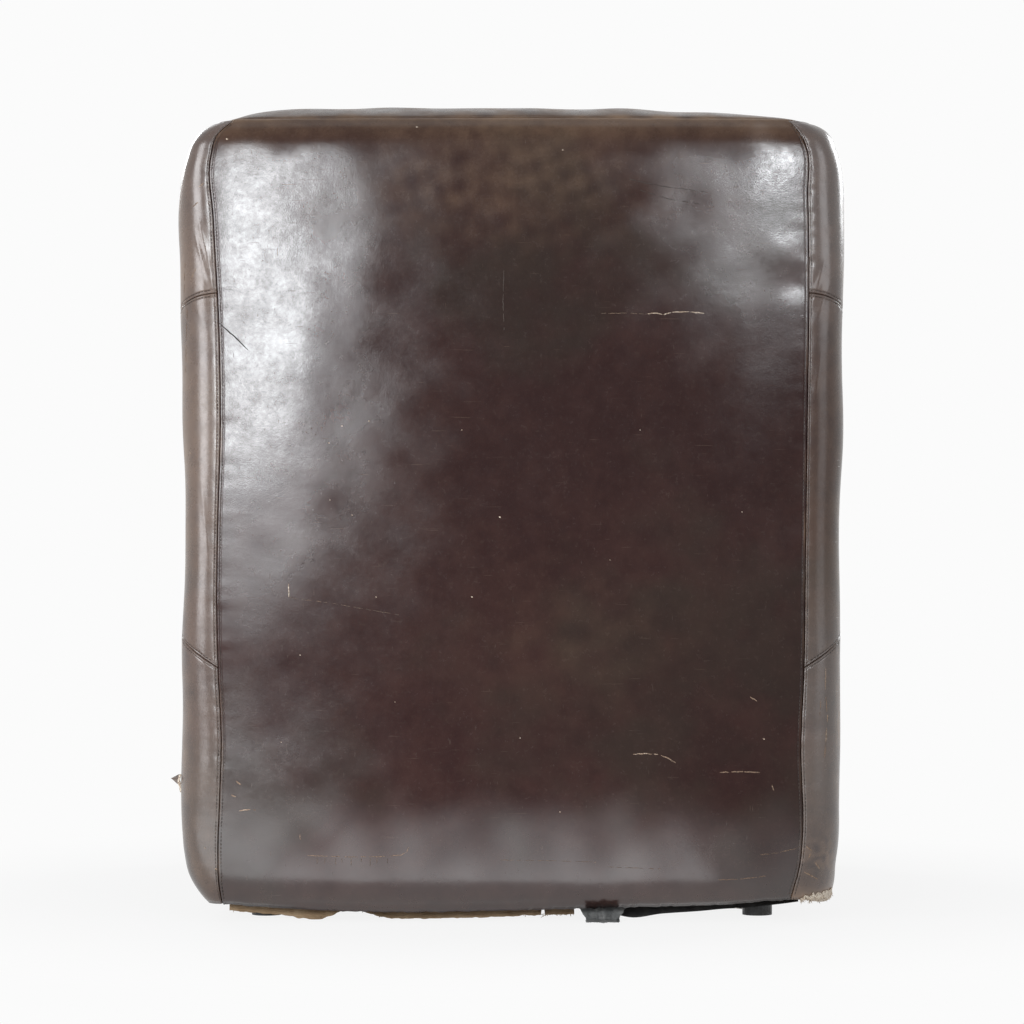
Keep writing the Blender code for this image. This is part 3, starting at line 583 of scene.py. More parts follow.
def dress_frame():
    """Each solid that stays visible gets the finish of its slot."""
    finishes = {"wood": WOOD, "padding": PADDING, "spring_steel": WIRE, "webbing": WEBBING,
                "hessian": HESSIAN, "dust_cloth": DUST_CLOTH, "grey_cloth": GREY_CLOTH,
                "glide_plastic": GLIDE, "leather": HIDE}
    slots = {part["node"]: part["material_slot"] for part in frame["record"]["subparts"]}
    for name, solid in frame["nodes"].items():
        solid.data.materials.clear()
        solid.data.materials.append(finishes[slots[name]])


# The outside back

def back_wear_and_painted_light(x, z):
    """Tan of the outside back: rubbed wear in a cloudy patch below the top, at the hem and in faint clouds
    lower down; at the top edge, wear and painted light: a painted highlight on the fold, a paler painted
    band on the roll below it, and painted highlights at the two top corners."""
    patch = 0.26 * spot(x, z, across(505), up(180), 125 * PIXEL, 55 * PIXEL)
    patch = patch * np.clip(0.8 + 0.35 * ripple(x, z, 0.028, 21), 0.1, 1.8)
    # Top edge, partly rubbed wear and partly painted light: the wide term is a paler painted band on the
    # roll, the narrow one a painted highlight along the fold
    edge = 0.36 * np.exp(-((PANEL_TOP - z) / 0.022) ** 2) + 0.9 * np.exp(-((PANEL_TOP - z) / 0.0020) ** 2)
    # Top corners: partly rubbed wear, partly painted highlight
    side = 0.08 * spot(x, z, across(240), up(135), 40 * PIXEL, 25 * PIXEL)
    side = side + 0.10 * spot(x, z, across(770), up(128), 40 * PIXEL, 16 * PIXEL)
    hem = 0.05 * np.exp(-((z - 0.02) / 0.015) ** 2)
    low = 0.05 * spot(x, z, across(580), up(640), 90 * PIXEL, 60 * PIXEL)
    low = low * (0.8 + 0.8 * ripple(x, z, 0.05, 22))
    return np.clip(patch + edge + side + hem + low, 0.0, 1.0)


def back_dryness(x, z):
    """Where the outside back has lost its wax: all but the upper left, the upper right and the lowest
    part."""
    column, row = PHOTO_CENTRE - x / PIXEL, PHOTO_CENTRE + (CAMERA_HEIGHT - z) / PIXEL
    column = column + 26 * ripple(x, z, 0.06, 25)
    row = row + 12 * ripple(x, z, 0.07, 26)
    left = np.clip((480 - column) / 230, 0, 1) * np.clip((740 - row) / 260, 0, 1)
    right = np.clip((column - 590) / 150, 0, 1) * np.clip((400 - row) / 180, 0, 1)
    low = 0.85 * np.clip((row - 780) / 110, 0, 1)
    corner = 0.95 * np.clip((430 - column) / 230, 0, 1) * np.clip((row - 600) / 200, 0, 1)
    low = np.maximum(low, corner)
    waxed = np.clip(np.maximum(np.maximum(left, right), low), 0, 1) * np.clip((row - 136) / 26, 0, 1)
    return 1.0 - waxed * waxed * (3 - 2 * waxed)


def outside_back():
    """The large rear panel: even columns between its seams, even rows from the hem to the folded top edge."""
    heights = spaced([0.0], [1.0], 170, False, False)[:, 0]
    share = spaced([-0.327], [0.327], 120)[:, 0] / 0.327
    side = np.where(share > 0, LEFT, RIGHT)
    hem = through(BACK_HEM, share * 0.327) + 0.0006 * ripple(share, 0 * share, 0.03, 31)
    top_steps = 1.0 - np.array([0.030, 0.025, 0.020, 0.016, 0.012, 0.009, 0.0065, 0.0045, 0.003, 0.0018,
                                0.0009, 0.0003, 0.0]) / 0.88
    rows = np.concatenate([heights[heights < top_steps[0] - 0.004], top_steps])
    z = hem[None, :] + (PANEL_TOP - hem[None, :]) * rows[:, None]
    seam = np.where(side > 0, rear_seam(LEFT, z), rear_seam(RIGHT, z))
    x = share[None, :] * seam
    points = np.stack([x, rear_y(x, z), z], -1)
    normal = unit_normals(points, (0, 1, 0))
    distance = np.maximum(seam - np.abs(x), 0.0)
    drop = seam_drop(distance) + pucker(distance, z + 3.0 * side, 5)
    points = points - normal * drop[..., None]
    lip = np.maximum(PANEL_TOP - z, 0.0)
    points[..., 2] += 0.0012 * np.exp(-((lip - 0.0015) / 0.0018) ** 2)
    rubbed = 0.18 * np.exp(-(((distance - 0.0012) / 0.0012) ** 2))
    # The tan on the top edge and corners is partly painted highlight, the rest rubbed wear
    pale_share = back_wear_and_painted_light(x, z) + rubbed * (0.5 + ripple(z, x, 0.05, 9))
    paint = {"pale_share": np.clip(pale_share, 0, 1), "dry": back_dryness(x, z)}
    piece = sheet_piece("outside_back_leather", points, (0, 1, 0), HIDE, paint)
    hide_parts("outside_back_panel")


# The side covers

def side_dryness(side, points):
    """Where the side covers have lost their wax: the middle of the right-hand strip."""
    if side == LEFT:
        return np.zeros(points.shape[:-1])
    return 0.75 * np.exp(-((points[..., 2] - up(470)) / (170 * PIXEL)) ** 4)


def side_wear(side, points):
    """Rubbed tan of the side covers: along the outline, most at the right below the middle and at the
    corners."""
    y, z = points[..., 1], points[..., 2]
    near = np.clip((y - 0.25) / 0.10, 0.0, 1.0)
    edge = np.exp(-(((y - 0.350) / 0.018) ** 2))
    pale_share = 0.16 * near + 0.18 * edge * (0.6 + 0.6 * ripple(z, y, 0.04, 41 + side))
    if side == RIGHT:
        pale_share = pale_share + 0.5 * spot(y, z, 0.352, up(715), 0.010, 52 * PIXEL) * (ripple(z, y, 0.009, 42) > 0.1)
        pale_share = pale_share + 0.22 * spot(y, z, 0.37, up(862), 0.03, 22 * PIXEL) * (0.5 + ripple(z, y, 0.008, 43))
        pale_share = pale_share + 0.7 * np.exp(-((z - 0.026) / 0.010) ** 2)
    else:
        pale_share = pale_share + 0.20 * spot(y, z, 0.36, up(450), 0.05, 120 * PIXEL)
        pale_share = pale_share + 0.18 * spot(y, z, 0.35, up(270), 0.05, 60 * PIXEL)
    return np.clip(pale_share, 0.0, 1.0)


def fold_ridge(run, z, start, end, size):
    """A tension fold: a soft ridge along the line between two (run, height) places, dying at its ends."""
    start, end = np.array(start), np.array(end)
    way = end - start
    length = np.hypot(*way)
    way = way / length
    along = (run - start[0]) * way[0] + (z - start[1]) * way[1]
    off = (run - start[0]) * -way[1] + (z - start[1]) * way[0]
    share = np.clip(along / length, 0, 1)
    return size * np.sin(np.pi * share) ** 0.7 * np.exp(-((off / 0.0019) ** 2))


# Tension folds at the corners: side, start and end as (distance from the seam, height), height of the ridge
FOLDS = [(LEFT, (0.022, 0.790), (0.002, 0.712), 0.0009), (LEFT, (0.028, 0.772), (0.005, 0.703), 0.0008),
         (LEFT, (0.012, 0.742), (0.000, 0.690), 0.0006), (LEFT, (0.030, 0.690), (0.010, 0.655), 0.0005),
         (RIGHT, (0.024, 0.745), (0.004, 0.690), 0.0006), (RIGHT, (0.030, 0.715), (0.010, 0.672), 0.0006),
         (RIGHT, (0.020, 0.640), (0.008, 0.585), 0.0005), (LEFT, (0.026, 0.500), (0.012, 0.400), 0.0005)]


def side_swell(side, run, z):
    """Folds and gathers of a side cover, as heights above its even surface."""
    swell = 0.0
    for which, start, end, size in FOLDS:
        if which == side:
            swell = swell + fold_ridge(run, z, start, end, size)
    gathers = np.cos(np.pi * z / 0.0048) ** 2 * spot(run, z, 0.0052, up(158), 0.0030, 18 * PIXEL)
    return swell + (0.0006 * gathers if side == RIGHT else 0.00025 * gathers)


def wrapped(points, runs, side, front):
    """Past the cover's front edge the leather turns inwards: a quarter circle, then straight across."""
    radius = 0.010
    over = np.maximum(runs - run_to(front), 0.0)
    turn = np.clip(over / radius, 0, np.pi / 2)
    inward = radius * (1 - np.cos(turn)) + np.maximum(over - radius * np.pi / 2, 0.0)
    points = points.copy()
    points[..., 0] -= side * inward
    points[..., 1] += over - radius * np.sin(turn)
    return points


def side_sheet(name, side, low, high, front, seam_low, seam_high, rows, node_name, wrap=0.0):
    """One side cover between two seams: columns follow the path round the corner, rows share out its
    height."""
    run = np.concatenate([SEAM_STEPS, np.linspace(0.013, CORNER_RUN, 34),
                          np.linspace(CORNER_RUN, run_to(front), 60)[1:]])
    if wrap:
        run = np.concatenate([run, run[-1] + np.linspace(0, wrap, 19)[1:]])
    z = spaced(low(run), high(run), rows, seam_low, seam_high)
    runs = np.broadcast_to(run, z.shape)
    points = side_points(side, runs, z)
    if wrap:
        points = wrapped(points, runs, side, front)
    normal = unit_normals(points, (side, 0.0, 0.0))
    drop = seam_drop(runs) + pucker(runs, z + side, 6) - side_swell(side, runs, z)
    if seam_low:
        drop = drop + seam_drop(z - low(run)) + pucker(z - low(run), runs, 7)
    if seam_high:
        drop = drop + seam_drop(high(run) - z) + pucker(high(run) - z, runs, 8)
    points = points - normal * drop[..., None]
    paint = {"pale_share": side_wear(side, points), "dry": side_dryness(side, points)}
    piece = sheet_piece(name, points, (side, 0, 0), HIDE, paint)
    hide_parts(node_name)


def side_covers(side):
    """The three covers of one side: back, arm and base, from the top seam down."""
    word = WORDS[side]
    bottom = OUTLINE[side][0][0]
    front = -HALF_DEPTH + 0.003
    side_sheet("back_side_cover_" + word, side, upper_seam, lambda run: PANEL_TOP + 0 * run, BACK_FRONT,
               True, True, 70, "back_side_" + word, 0.030)
    side_sheet("arm_outside_cover_" + word, side, lower_seam, upper_seam, front, True, True, 60,
               "arm_outside_" + word)
    side_sheet("base_side_cover_" + word, side, lambda run: bottom + 0 * run, lower_seam, front,
               False, True, 60, "base_side_" + word)


# Padding behind the covers

def pad_piece(name, points, outward, thickness, fill, *nodes):
    """Felt behind a cover: the cover's own surface set in, with its thickness behind."""
    face = points - unit_normals(points, outward) * PAD_SET
    piece = sheet_piece(name, face, outward, PADDING, None, thickness)
    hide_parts(*nodes)
    return piece


def padding():
    """Felt behind the outside back, round the corners and inside the arms' outer sides."""
    x, z = np.meshgrid(np.linspace(-0.312, 0.312, 40), np.linspace(0.055, 0.855, 50))
    back = np.stack([x, rear_y(x, z), z], -1)
    pad_piece("back_wadding", back, (0, 1, 0), 0.015, 0.4, "back_padding")
    for side in (LEFT, RIGHT):
        word = WORDS[side]
        run, height = np.meshgrid(np.linspace(0.012, run_to(BACK_FRONT), 40), np.linspace(0.105, 0.80, 50))
        corner = side_points(side, run, height)
        pad_piece("corner_wadding_" + word, corner, (side, 0, 0), 0.007, 0.4, "corner_padding_" + word)
        run, height = np.meshgrid(np.linspace(run_to(BACK_FRONT) + 0.001, run_to(-0.385), 30),
                                  np.linspace(0.102, 0.553, 30))
        flank = side_points(side, run, height)
        pad_piece("arm_side_wadding_" + word, flank, (side, 0, 0), 0.029, 0.4, "arm_side_padding_" + word)


# The crown of the back

def crown_half(side, y, rear):
    """Half width of the crown at a depth: the side cover's own path at the panel's top."""
    seam = rear_seam(side, PANEL_TOP)
    strip = half_width(side, PANEL_TOP) - seam
    depth = CORNER_DEPTH * max(strip / STRIP, 0.1)
    turned = 1.0 - np.clip((rear - y) / depth, 0.0, 1.0)
    return seam + strip * np.sqrt(1.0 - turned * turned) - 0.0006


def crown_cover():
    """The crown: straight over the back from the inside back to the folded edge, highest in the middle."""
    v = spaced([0.0], [0.229], 40)[:, 0] / 0.229
    across = spaced([-0.318], [0.318], 90)[:, 0] / 0.318
    share, level = np.meshgrid(across, v)
    side = np.where(share > 0, LEFT, RIGHT)
    corner = {side: rear_y(rear_seam(side, PANEL_TOP), PANEL_TOP) for side in (LEFT, RIGHT)}
    edge = np.where(side > 0, corner[LEFT], corner[RIGHT])
    y_edge = BACK_FRONT + (edge - BACK_FRONT) * level
    half = np.where(side > 0, crown_half(LEFT, y_edge, edge), crown_half(RIGHT, y_edge, edge))
    x = share * half
    rear = rear_y(x, PANEL_TOP) - 0.0012
    y = BACK_FRONT - 0.002 + (rear - BACK_FRONT + 0.002) * level
    sink = np.where(side > 0, 0.10, 0.52) * share ** 2
    shut = 1.0 - np.abs(share) ** np.where(side > 0, 16.0, 24.0)
    rise = CROWN_RISE * (1.0 - sink) * shut * np.sin(np.pi * level) ** 0.6
    z = PANEL_TOP + rise - 0.0009 * ripple(x, y, 0.10, 51) * np.clip(rise / 0.01, 0, 1)
    y = y - 0.008 * (1.0 - level) ** 8
    z = z - quarter(0.016 - level * 0.229, 0.016, 0.015)
    points = np.stack([x, y, z], -1)
    normal = unit_normals(points, (0, 0, 1))
    drop = seam_drop(np.minimum(half - np.abs(x), 1.0)) + seam_drop((1.0 - level) * 0.229)
    drop = drop + seam_drop(level * 0.229)
    points = points - normal * np.minimum(drop, 0.0022)[..., None]
    # Paler tan over the whole crown, most along its rear edge at the fold
    pale_share = 0.34 * np.exp(-((1.0 - level) / 0.06) ** 2) + 0.24 * (1.2 + ripple(x, y, 0.05, 52))
    paint = {"pale_share": np.clip(pale_share, 0, 1), "dry": np.ones_like(share)}
    piece = sheet_piece("crown_cover", points, (0, 0, 1), HIDE, paint)
    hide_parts("top_band")


# The arms and the front

def arm_section(side, count):
    """The arm's outline from its outer shoulder seam over the crowned top to the deck: (distance out,
    height)."""
    shoulder = ARM_TOP - ARM_RADIUS
    outer = half_width(side, shoulder)
    turn = np.linspace(0.0, np.pi / 2, 12)
    outside = np.stack([outer - ARM_RADIUS + ARM_RADIUS * np.cos(turn),
                        shoulder + ARM_RADIUS * np.sin(turn)], -1)
    share = np.linspace(0.0, 1.0, 16)[1:-1]
    start, end = outer - ARM_RADIUS, ARM_INNER + ARM_RADIUS
    top = np.stack([start + (end - start) * share, ARM_TOP + ARM_CROWN * np.sin(share * np.pi)], -1)
    turn = np.linspace(np.pi / 2, np.pi, 12)
    inside = np.stack([ARM_INNER + ARM_RADIUS + ARM_RADIUS * np.cos(turn),
                       shoulder + ARM_RADIUS * np.sin(turn)], -1)
    down = np.stack([np.full(30, ARM_INNER), np.linspace(shoulder, DECK_TOP, 31)[1:]], -1)
    line = np.concatenate([outside, top, inside, down])
    length = np.concatenate([[0.0], np.cumsum(np.linalg.norm(np.diff(line, axis=0), axis=1))])
    at = spaced([0.0], [length[-1]], count, True, False)[:, 0]
    return np.stack([np.interp(at, length, line[:, 0]), np.interp(at, length, line[:, 1])], -1), at


def arm_cover(side):
    """The leather over an arm: its section swept from the front to the inside back, pressed flat where it
    is worn, with the arm's inner wadding behind it."""
    word = WORDS[side]
    section, at = arm_section(side, 110)
    front, rear = -HALF_DEPTH + 0.003, BACK_FRONT - 0.0003
    y = spaced([front], [rear], 70)[:, 0]
    share, depth = np.meshgrid(at, y)
    x = np.broadcast_to(section[:, 0], depth.shape)
    z = np.broadcast_to(section[:, 1], depth.shape)
    points = np.stack([side * x, depth, z], -1)
    normal = unit_normals(points, (0, 0, 1))
    dent = 0.0018 * ripple(share, depth, 0.12, 61 + side) * np.clip((depth - front) / 0.05, 0, 1)
    inner_part = np.clip((at[None, :] - 0.03) / 0.02, 0, 1)
    dent = dent - 0.0010 * np.abs(ripple(share, depth, 0.035, 63 + side)) * inner_part
    inward = np.clip(dent - 0.001, -0.004, 0.0008)
    drop = seam_drop(share) + seam_drop(depth - front) + seam_drop(rear - depth)
    points = points + normal * (inward * np.clip(share / 0.02, 0, 1) - drop)[..., None]
    pale_share = 0.30 * np.exp(-((share - 0.08) / 0.035) ** 2) * (0.6 + 0.6 * ripple(share, depth, 0.03, 65))
    rim = 0.35 * np.exp(-((depth - front) / 0.012) ** 2)
    pale_share = pale_share + rim * (0.5 + 0.5 * ripple(depth, share, 0.01, 66))
    piece = sheet_piece("arm_top_cover_" + word, points, (0, 0, 1), HIDE, {"pale_share": np.clip(pale_share, 0, 1)})
    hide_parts("arm_cover_" + word)
    inner = points[:, at > at[-1] - 0.29][14:-14:3, 3:-2:3]
    pad_piece("arm_inside_wadding_" + word, inner, (-side, 0, 0), 0.013, 0.4, "arm_inside_padding_" + word)


def arm_front(side):
    """The arm's front facing: rows between its inner edge and its rounded outer edge, crowned at the top."""
    word = WORDS[side]
    bottom = OUTLINE[side][0][0]
    shoulder = ARM_TOP - ARM_RADIUS
    outer = 0.375
    z = spaced([bottom], [ARM_TOP], 90, False, True)[:, 0]
    curve = quarter(z - shoulder, ARM_RADIUS, ARM_RADIUS)
    corner = quarter(bottom + 0.060 - z, 0.060, 0.030)
    low, high = ARM_INNER + curve, outer - curve - corner
    x = spaced(low, high, 40).T
    high_z = np.broadcast_to(z[:, None], x.shape)
    across = (x - low[:, None]) / (high - low)[:, None]
    top = np.clip((high_z - 0.5) / 0.1, 0, 1) ** 2
    height = high_z + ARM_CROWN * np.sin(np.pi * across) * top
    edge = np.minimum(np.minimum(x - low[:, None], high[:, None] - x), ARM_TOP - high_z + 0.0)
    edge = np.maximum(edge, 0.0)
    swell = 0.003 * (1 - np.exp(-edge / 0.012)) + 0.0008 * ripple(x, high_z, 0.09, 71 + side)
    y = -HALF_DEPTH + 0.003 - swell + seam_drop(edge)
    points = np.stack([side * x, y, height], -1)
    pale_share = 0.40 * np.exp(-(edge / 0.006) ** 2) * (0.6 + 0.5 * ripple(x, high_z, 0.02, 72))
    piece = sheet_piece("arm_front_facing_" + word, points, (0, -1, 0), HIDE, {"pale_share": np.clip(pale_share, 0, 1)})
    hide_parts("arm_front_" + word)
    turn = np.linspace(0, np.pi / 2, 14)
    rim = [(ARM_INNER + 0.001, 0.030), (ARM_INNER + 0.001, shoulder - 0.004)]
    rim += list(zip(ARM_INNER + ARM_RADIUS - ARM_RADIUS * np.cos(turn), shoulder + ARM_RADIUS * np.sin(turn)))
    share = np.linspace(0, 1, 16)[1:-1]
    rim += list(zip(ARM_INNER + ARM_RADIUS + (outer - ARM_INNER - 2 * ARM_RADIUS) * share,
                    ARM_TOP + ARM_CROWN * np.sin(np.pi * share)))
    rim += list(zip(outer - ARM_RADIUS + ARM_RADIUS * np.sin(turn), shoulder + ARM_RADIUS * np.cos(turn)))
    low_z = np.linspace(shoulder - 0.01, bottom + 0.004, 60)
    rim += list(zip(outer - 0.001 - quarter(bottom + 0.060 - low_z, 0.060, 0.030), low_z))
    rim = np.array(rim)
    length = np.concatenate([[0.0], np.cumsum(np.hypot(*np.diff(rim, axis=0).T))])
    step = np.linspace(0, length[-1], 420)
    path = np.stack([side * np.interp(step, length, rim[:, 0]), np.full(420, -HALF_DEPTH + 0.0010),
                     np.interp(step, length, rim[:, 1])], -1)
    girth = 0.0030 * (1 + 0.05 * ripple(step, 0 * step, 0.02, 74))
    tube = swept(path, np.tile([0.0, -1.0, 0.0], (420, 1)), girth, girth, 10)
    welt = joined("arm_front_welt_" + word, [tube], HIDE, "pale_share", [0.30])


def front_border():
    """Leather across the base's front, a little full in the middle."""
    half = ARM_INNER - 0.0009
    x, z = np.meshgrid(spaced([-half], [half], 80)[:, 0], spaced([0.019], [0.248], 50)[:, 0])
    bulge = 0.005 * (1 - (x / half) ** 2) * np.sin(np.pi * (z - 0.019) / 0.229)
    edge = np.minimum(half - np.abs(x), 0.248 - z)
    y = -0.3878 - bulge + seam_drop(np.maximum(edge, 0)) + 0.0008 * ripple(x, z, 0.08, 81)
    points = np.stack([x, y, z], -1)
    pale_share = 0.12 * np.exp(-((z - 0.24) / 0.012) ** 2) + 0.10 * np.exp(-((z - 0.02) / 0.012) ** 2)
    pale_share = pale_share + 0.05 * ripple(x, z, 0.04, 82)
    piece = sheet_piece("front_border_cover", points, (0, -1, 0), HIDE, {"pale_share": pale_share})
    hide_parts("front_border")
    along = np.linspace(-half + 0.003, half - 0.003, 120)
    path = np.stack([along, np.full(120, -0.3890), 0.2478 + 0.0004 * ripple(along, 0 * along, 0.03, 84)], -1)
    welt = joined("front_border_welt", [swept(path, np.tile([0.0, -1.0, 0.0], (120, 1)), np.full(120, 0.0038),
                                              np.full(120, 0.0038), 10)], HIDE, "pale_share", [0.22])


# Cushions

def rounded_block(low, high, radius, spacing):
    """A closed box of points with rounded edges: a grid on each face, pulled onto a ball at each corner.
    Every point is clamped into the box set in by the radius, and pushed out from there by the radius."""
    low, high = np.array(low, float), np.array(high, float)
    counts = np.maximum(((high - low) / spacing).astype(int), 4)
    ticks = [np.linspace(low[n], high[n], counts[n] + 1) for n in range(3)]
    faces = []
    number = -np.ones(tuple(counts + 1), int)
    shell = np.zeros(tuple(counts + 1), bool)
    for axis in range(3):
        for end in (0, -1):
            place = [slice(None)] * 3
            place[axis] = end
            shell[tuple(place)] = True
    number[shell] = np.arange(shell.sum())
    where = np.argwhere(shell)
    points = np.stack([ticks[n][where[:, n]] for n in range(3)], -1)
    core = np.clip(points, low + radius, high - radius)
    away = points - core
    length = np.maximum(np.linalg.norm(away, axis=1, keepdims=True), 1e-9)
    points = core + away / length * radius
    for axis in range(3):
        for end in (0, -1):
            place = [slice(None)] * 3
            place[axis] = end
            face = number[tuple(place)]
            quads = np.stack([face[:-1, :-1], face[1:, :-1], face[1:, 1:], face[:-1, 1:]], -1).reshape(-1, 4)
            outward = (end == -1) == (axis != 1)
            faces.append(quads if outward else quads[:, ::-1])
    return points, np.concatenate(faces)


def inflate(piece, voxel, pressure, most):
    """Fill a cushion like a bag under pressure, no point moving more than the most; gives the old and new
    points."""
    remesh = piece.modifiers.new("voxels", "REMESH")
    remesh.mode = "VOXEL"
    remesh.voxel_size = voxel
    apply_modifiers(piece)
    count = len(piece.data.vertices)
    before = np.empty(count * 3)
    piece.data.vertices.foreach_get("co", before)
    before = before.reshape(-1, 3)
    cloth = piece.modifiers.new("fill", "CLOTH")
    cloth.settings.use_pressure = True
    cloth.settings.uniform_pressure_force = pressure
    cloth.settings.quality = 5
    cloth.settings.effector_weights.gravity = 0.0
    cloth.settings.tension_stiffness = 12
    cloth.settings.bending_stiffness = 0.6
    cloth.point_cache.frame_start = 1
    cloth.point_cache.frame_end = 20
    scene = bpy.context.scene
    for moment in range(1, 21):
        scene.frame_set(moment)
    shown = piece.evaluated_get(bpy.context.evaluated_depsgraph_get())
    after = np.empty(count * 3)
    shown.data.vertices.foreach_get("co", after)
    after = after.reshape(-1, 3)
    move = after - before
    length = np.maximum(np.linalg.norm(move, axis=1, keepdims=True), 1e-9)
    after = before + move * np.minimum(1.0, most / length)
    piece.modifiers.clear()
    piece.data.vertices.foreach_set("co", after.reshape(-1))
    piece.data.update()
    scene.frame_set(1)
    return before, after


def apply_modifiers(piece):
    """Keep the piece as its modifiers show it."""
    graph = bpy.context.evaluated_depsgraph_get()
    mesh = bpy.data.meshes.new_from_object(piece.evaluated_get(graph))
    piece.modifiers.clear()
    piece.data = mesh


def cushion_welt(name, path, before, after, radius=0.0040):
    """A sewn welt round a cushion: its path moves as the nearest part of the cushion moved when it filled."""
    closed = np.concatenate([path, path[:1]])
    length = np.concatenate([[0.0], np.cumsum(np.linalg.norm(np.diff(closed, axis=0), axis=1))])
    step = np.linspace(0, length[-1], int(length[-1] / 0.005), endpoint=False)
    path = np.stack([np.interp(step, length, closed[:, n]) for n in range(3)], -1)
    away = (before ** 2).sum(1)[None, :] - 2 * path @ before.T
    near = np.argpartition(away, WELT_NEIGHBOURS, axis=1)[:, :WELT_NEIGHBOURS]
    moved = after[near].mean(1)
    kernel = np.ones(9) / 9
    middle = after.mean(0)
    for n in range(3):
        wide = np.concatenate([moved[-8:, n], moved[:, n], moved[:8, n]])
        moved[:, n] = np.convolve(wide, kernel, "same")[8:-8]
    outward = moved - middle
    outward /= np.linalg.norm(outward, axis=1, keepdims=True)
    moved = moved + outward * 0.0012
    tangent = np.roll(moved, -1, 0) - np.roll(moved, 1, 0)
    tangent /= np.linalg.norm(tangent, axis=1, keepdims=True)
    across_way = np.cross(outward, tangent)
    across_way /= np.linalg.norm(across_way, axis=1, keepdims=True)
    up_way = np.cross(tangent, across_way)
    turn = np.linspace(0, 2 * np.pi, 10, endpoint=False)[None, :, None]
    ring = moved[:, None] + radius * (across_way[:, None] * np.cos(turn) + up_way[:, None] * np.sin(turn))
    number = np.arange(ring.shape[0] * 10).reshape(-1, 10)
    number = np.concatenate([number, number[:1]], 0)
    number = np.concatenate([number, number[:, :1]], 1)
    faces = np.stack([number[:-1, :-1], number[:-1, 1:], number[1:, 1:], number[1:, :-1]], -1).reshape(-1, 4)
    pale_share = np.clip(0.22 + 0.2 * ripple(ring[..., 0], ring[..., 1] + ring[..., 2], 0.03, 95), 0, 1)
    welt = new_piece(name, ring, faces, HIDE, {"pale_share": pale_share})


def round_rectangle(a_low, a_high, b_low, b_high, radius):
    """Points round a rectangle with round corners, in the plane of its two sides."""
    turn = np.linspace(0, np.pi / 2, 10)
    corners = ((a_high - radius, b_high - radius, 0), (a_low + radius, b_high - radius, 1),
               (a_low + radius, b_low + radius, 2), (a_high - radius, b_low + radius, 3))
    loop = [np.stack([a + radius * np.cos(turn + quarter_turns * np.pi / 2),
                      b + radius * np.sin(turn + quarter_turns * np.pi / 2)], -1)
            for a, b, quarter_turns in corners]
    return np.concatenate(loop)


def seat_cushion():
    """The loose seat cushion, filled like a bag, with a welt round its upper and lower edges."""
    low = (-0.236, -0.394, DECK_TOP + 0.002)
    high = (0.236, 0.134, 0.444)
    points, faces = rounded_block(low, high, 0.024, 0.014)
    piece = new_piece("seat_cushion_cover", points, faces, HIDE)
    before, after = inflate(piece, 0.006, 4.0, 0.012)
    finish_cushion(piece, (-0.2415, -0.402, DECK_TOP), (0.2415, 0.1395, 0.470), "seat_cushion")
    loop = round_rectangle(low[0] + 0.004, high[0] - 0.004, low[1] + 0.004, high[1] - 0.004, 0.024)
    for word, height in (("upper", high[2] - 0.006), ("lower", low[2] + 0.006)):
        path = np.concatenate([loop, np.full((len(loop), 1), height)], 1)
        cushion_welt("seat_welt_" + word, path, before, after)


def finish_cushion(piece, low, high, node_name):
    count = len(piece.data.vertices)
    points = np.empty(count * 3)
    piece.data.vertices.foreach_get("co", points)
    points = np.clip(points.reshape(-1, 3), low, high)
    piece.data.vertices.foreach_set("co", points.reshape(-1))
    piece.data.update()
    piece.data.shade_smooth()
    smooth = piece.modifiers.new("smooth", "SUBSURF")
    smooth.levels = smooth.render_levels = 1
    pale_share = piece.data.attributes.new("pale_share", "FLOAT", "POINT")
    pale_share.data.foreach_set("value", cushion_wear(points).astype(np.float32))
    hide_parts(node_name)


def cushion_wear(points):
    """Rubbed tan of the cushions: faint clouds all over."""
    x, y, z = points.T
    return np.clip(0.14 + 0.16 * ripple(x, y + z, 0.09, 91), 0.0, 1.0)


def inside_back():
    """The back cushion, cut away round the arms: a broad block over a narrow one, melted into one by
    voxels."""
    upper, upper_faces = rounded_block((-0.350, 0.146, 0.612), (0.350, 0.292, 0.881), 0.026, 0.014)
    lower, lower_faces = rounded_block((-0.236, 0.146, 0.256), (0.236, 0.292, 0.70), 0.026, 0.014)
    points = np.concatenate([upper, lower])
    faces = np.concatenate([upper_faces, lower_faces + len(upper)])
    piece = new_piece("inside_back_cover", points, faces, HIDE)
    before, after = inflate(piece, 0.006, 4.0, 0.010)
    finish_cushion(piece, (-0.3591, 0.1385, DECK_TOP), (0.3591, 0.297, 0.8855), "inside_back")
    upper_loop = round_rectangle(-0.346, 0.346, 0.616, 0.877, 0.026)
    half = len(upper_loop) // 2
    legs = [(-0.232, 0.616), (-0.232, 0.262), (0.232, 0.262), (0.232, 0.616)]
    loop = np.concatenate([upper_loop[:half + 10], legs, upper_loop[half + 10:]])
    path = np.stack([loop[:, 0], np.full(len(loop), 0.152), loop[:, 1]], -1)
    cushion_welt("inside_back_welt", path, before, after)


# The torn cloths underneath


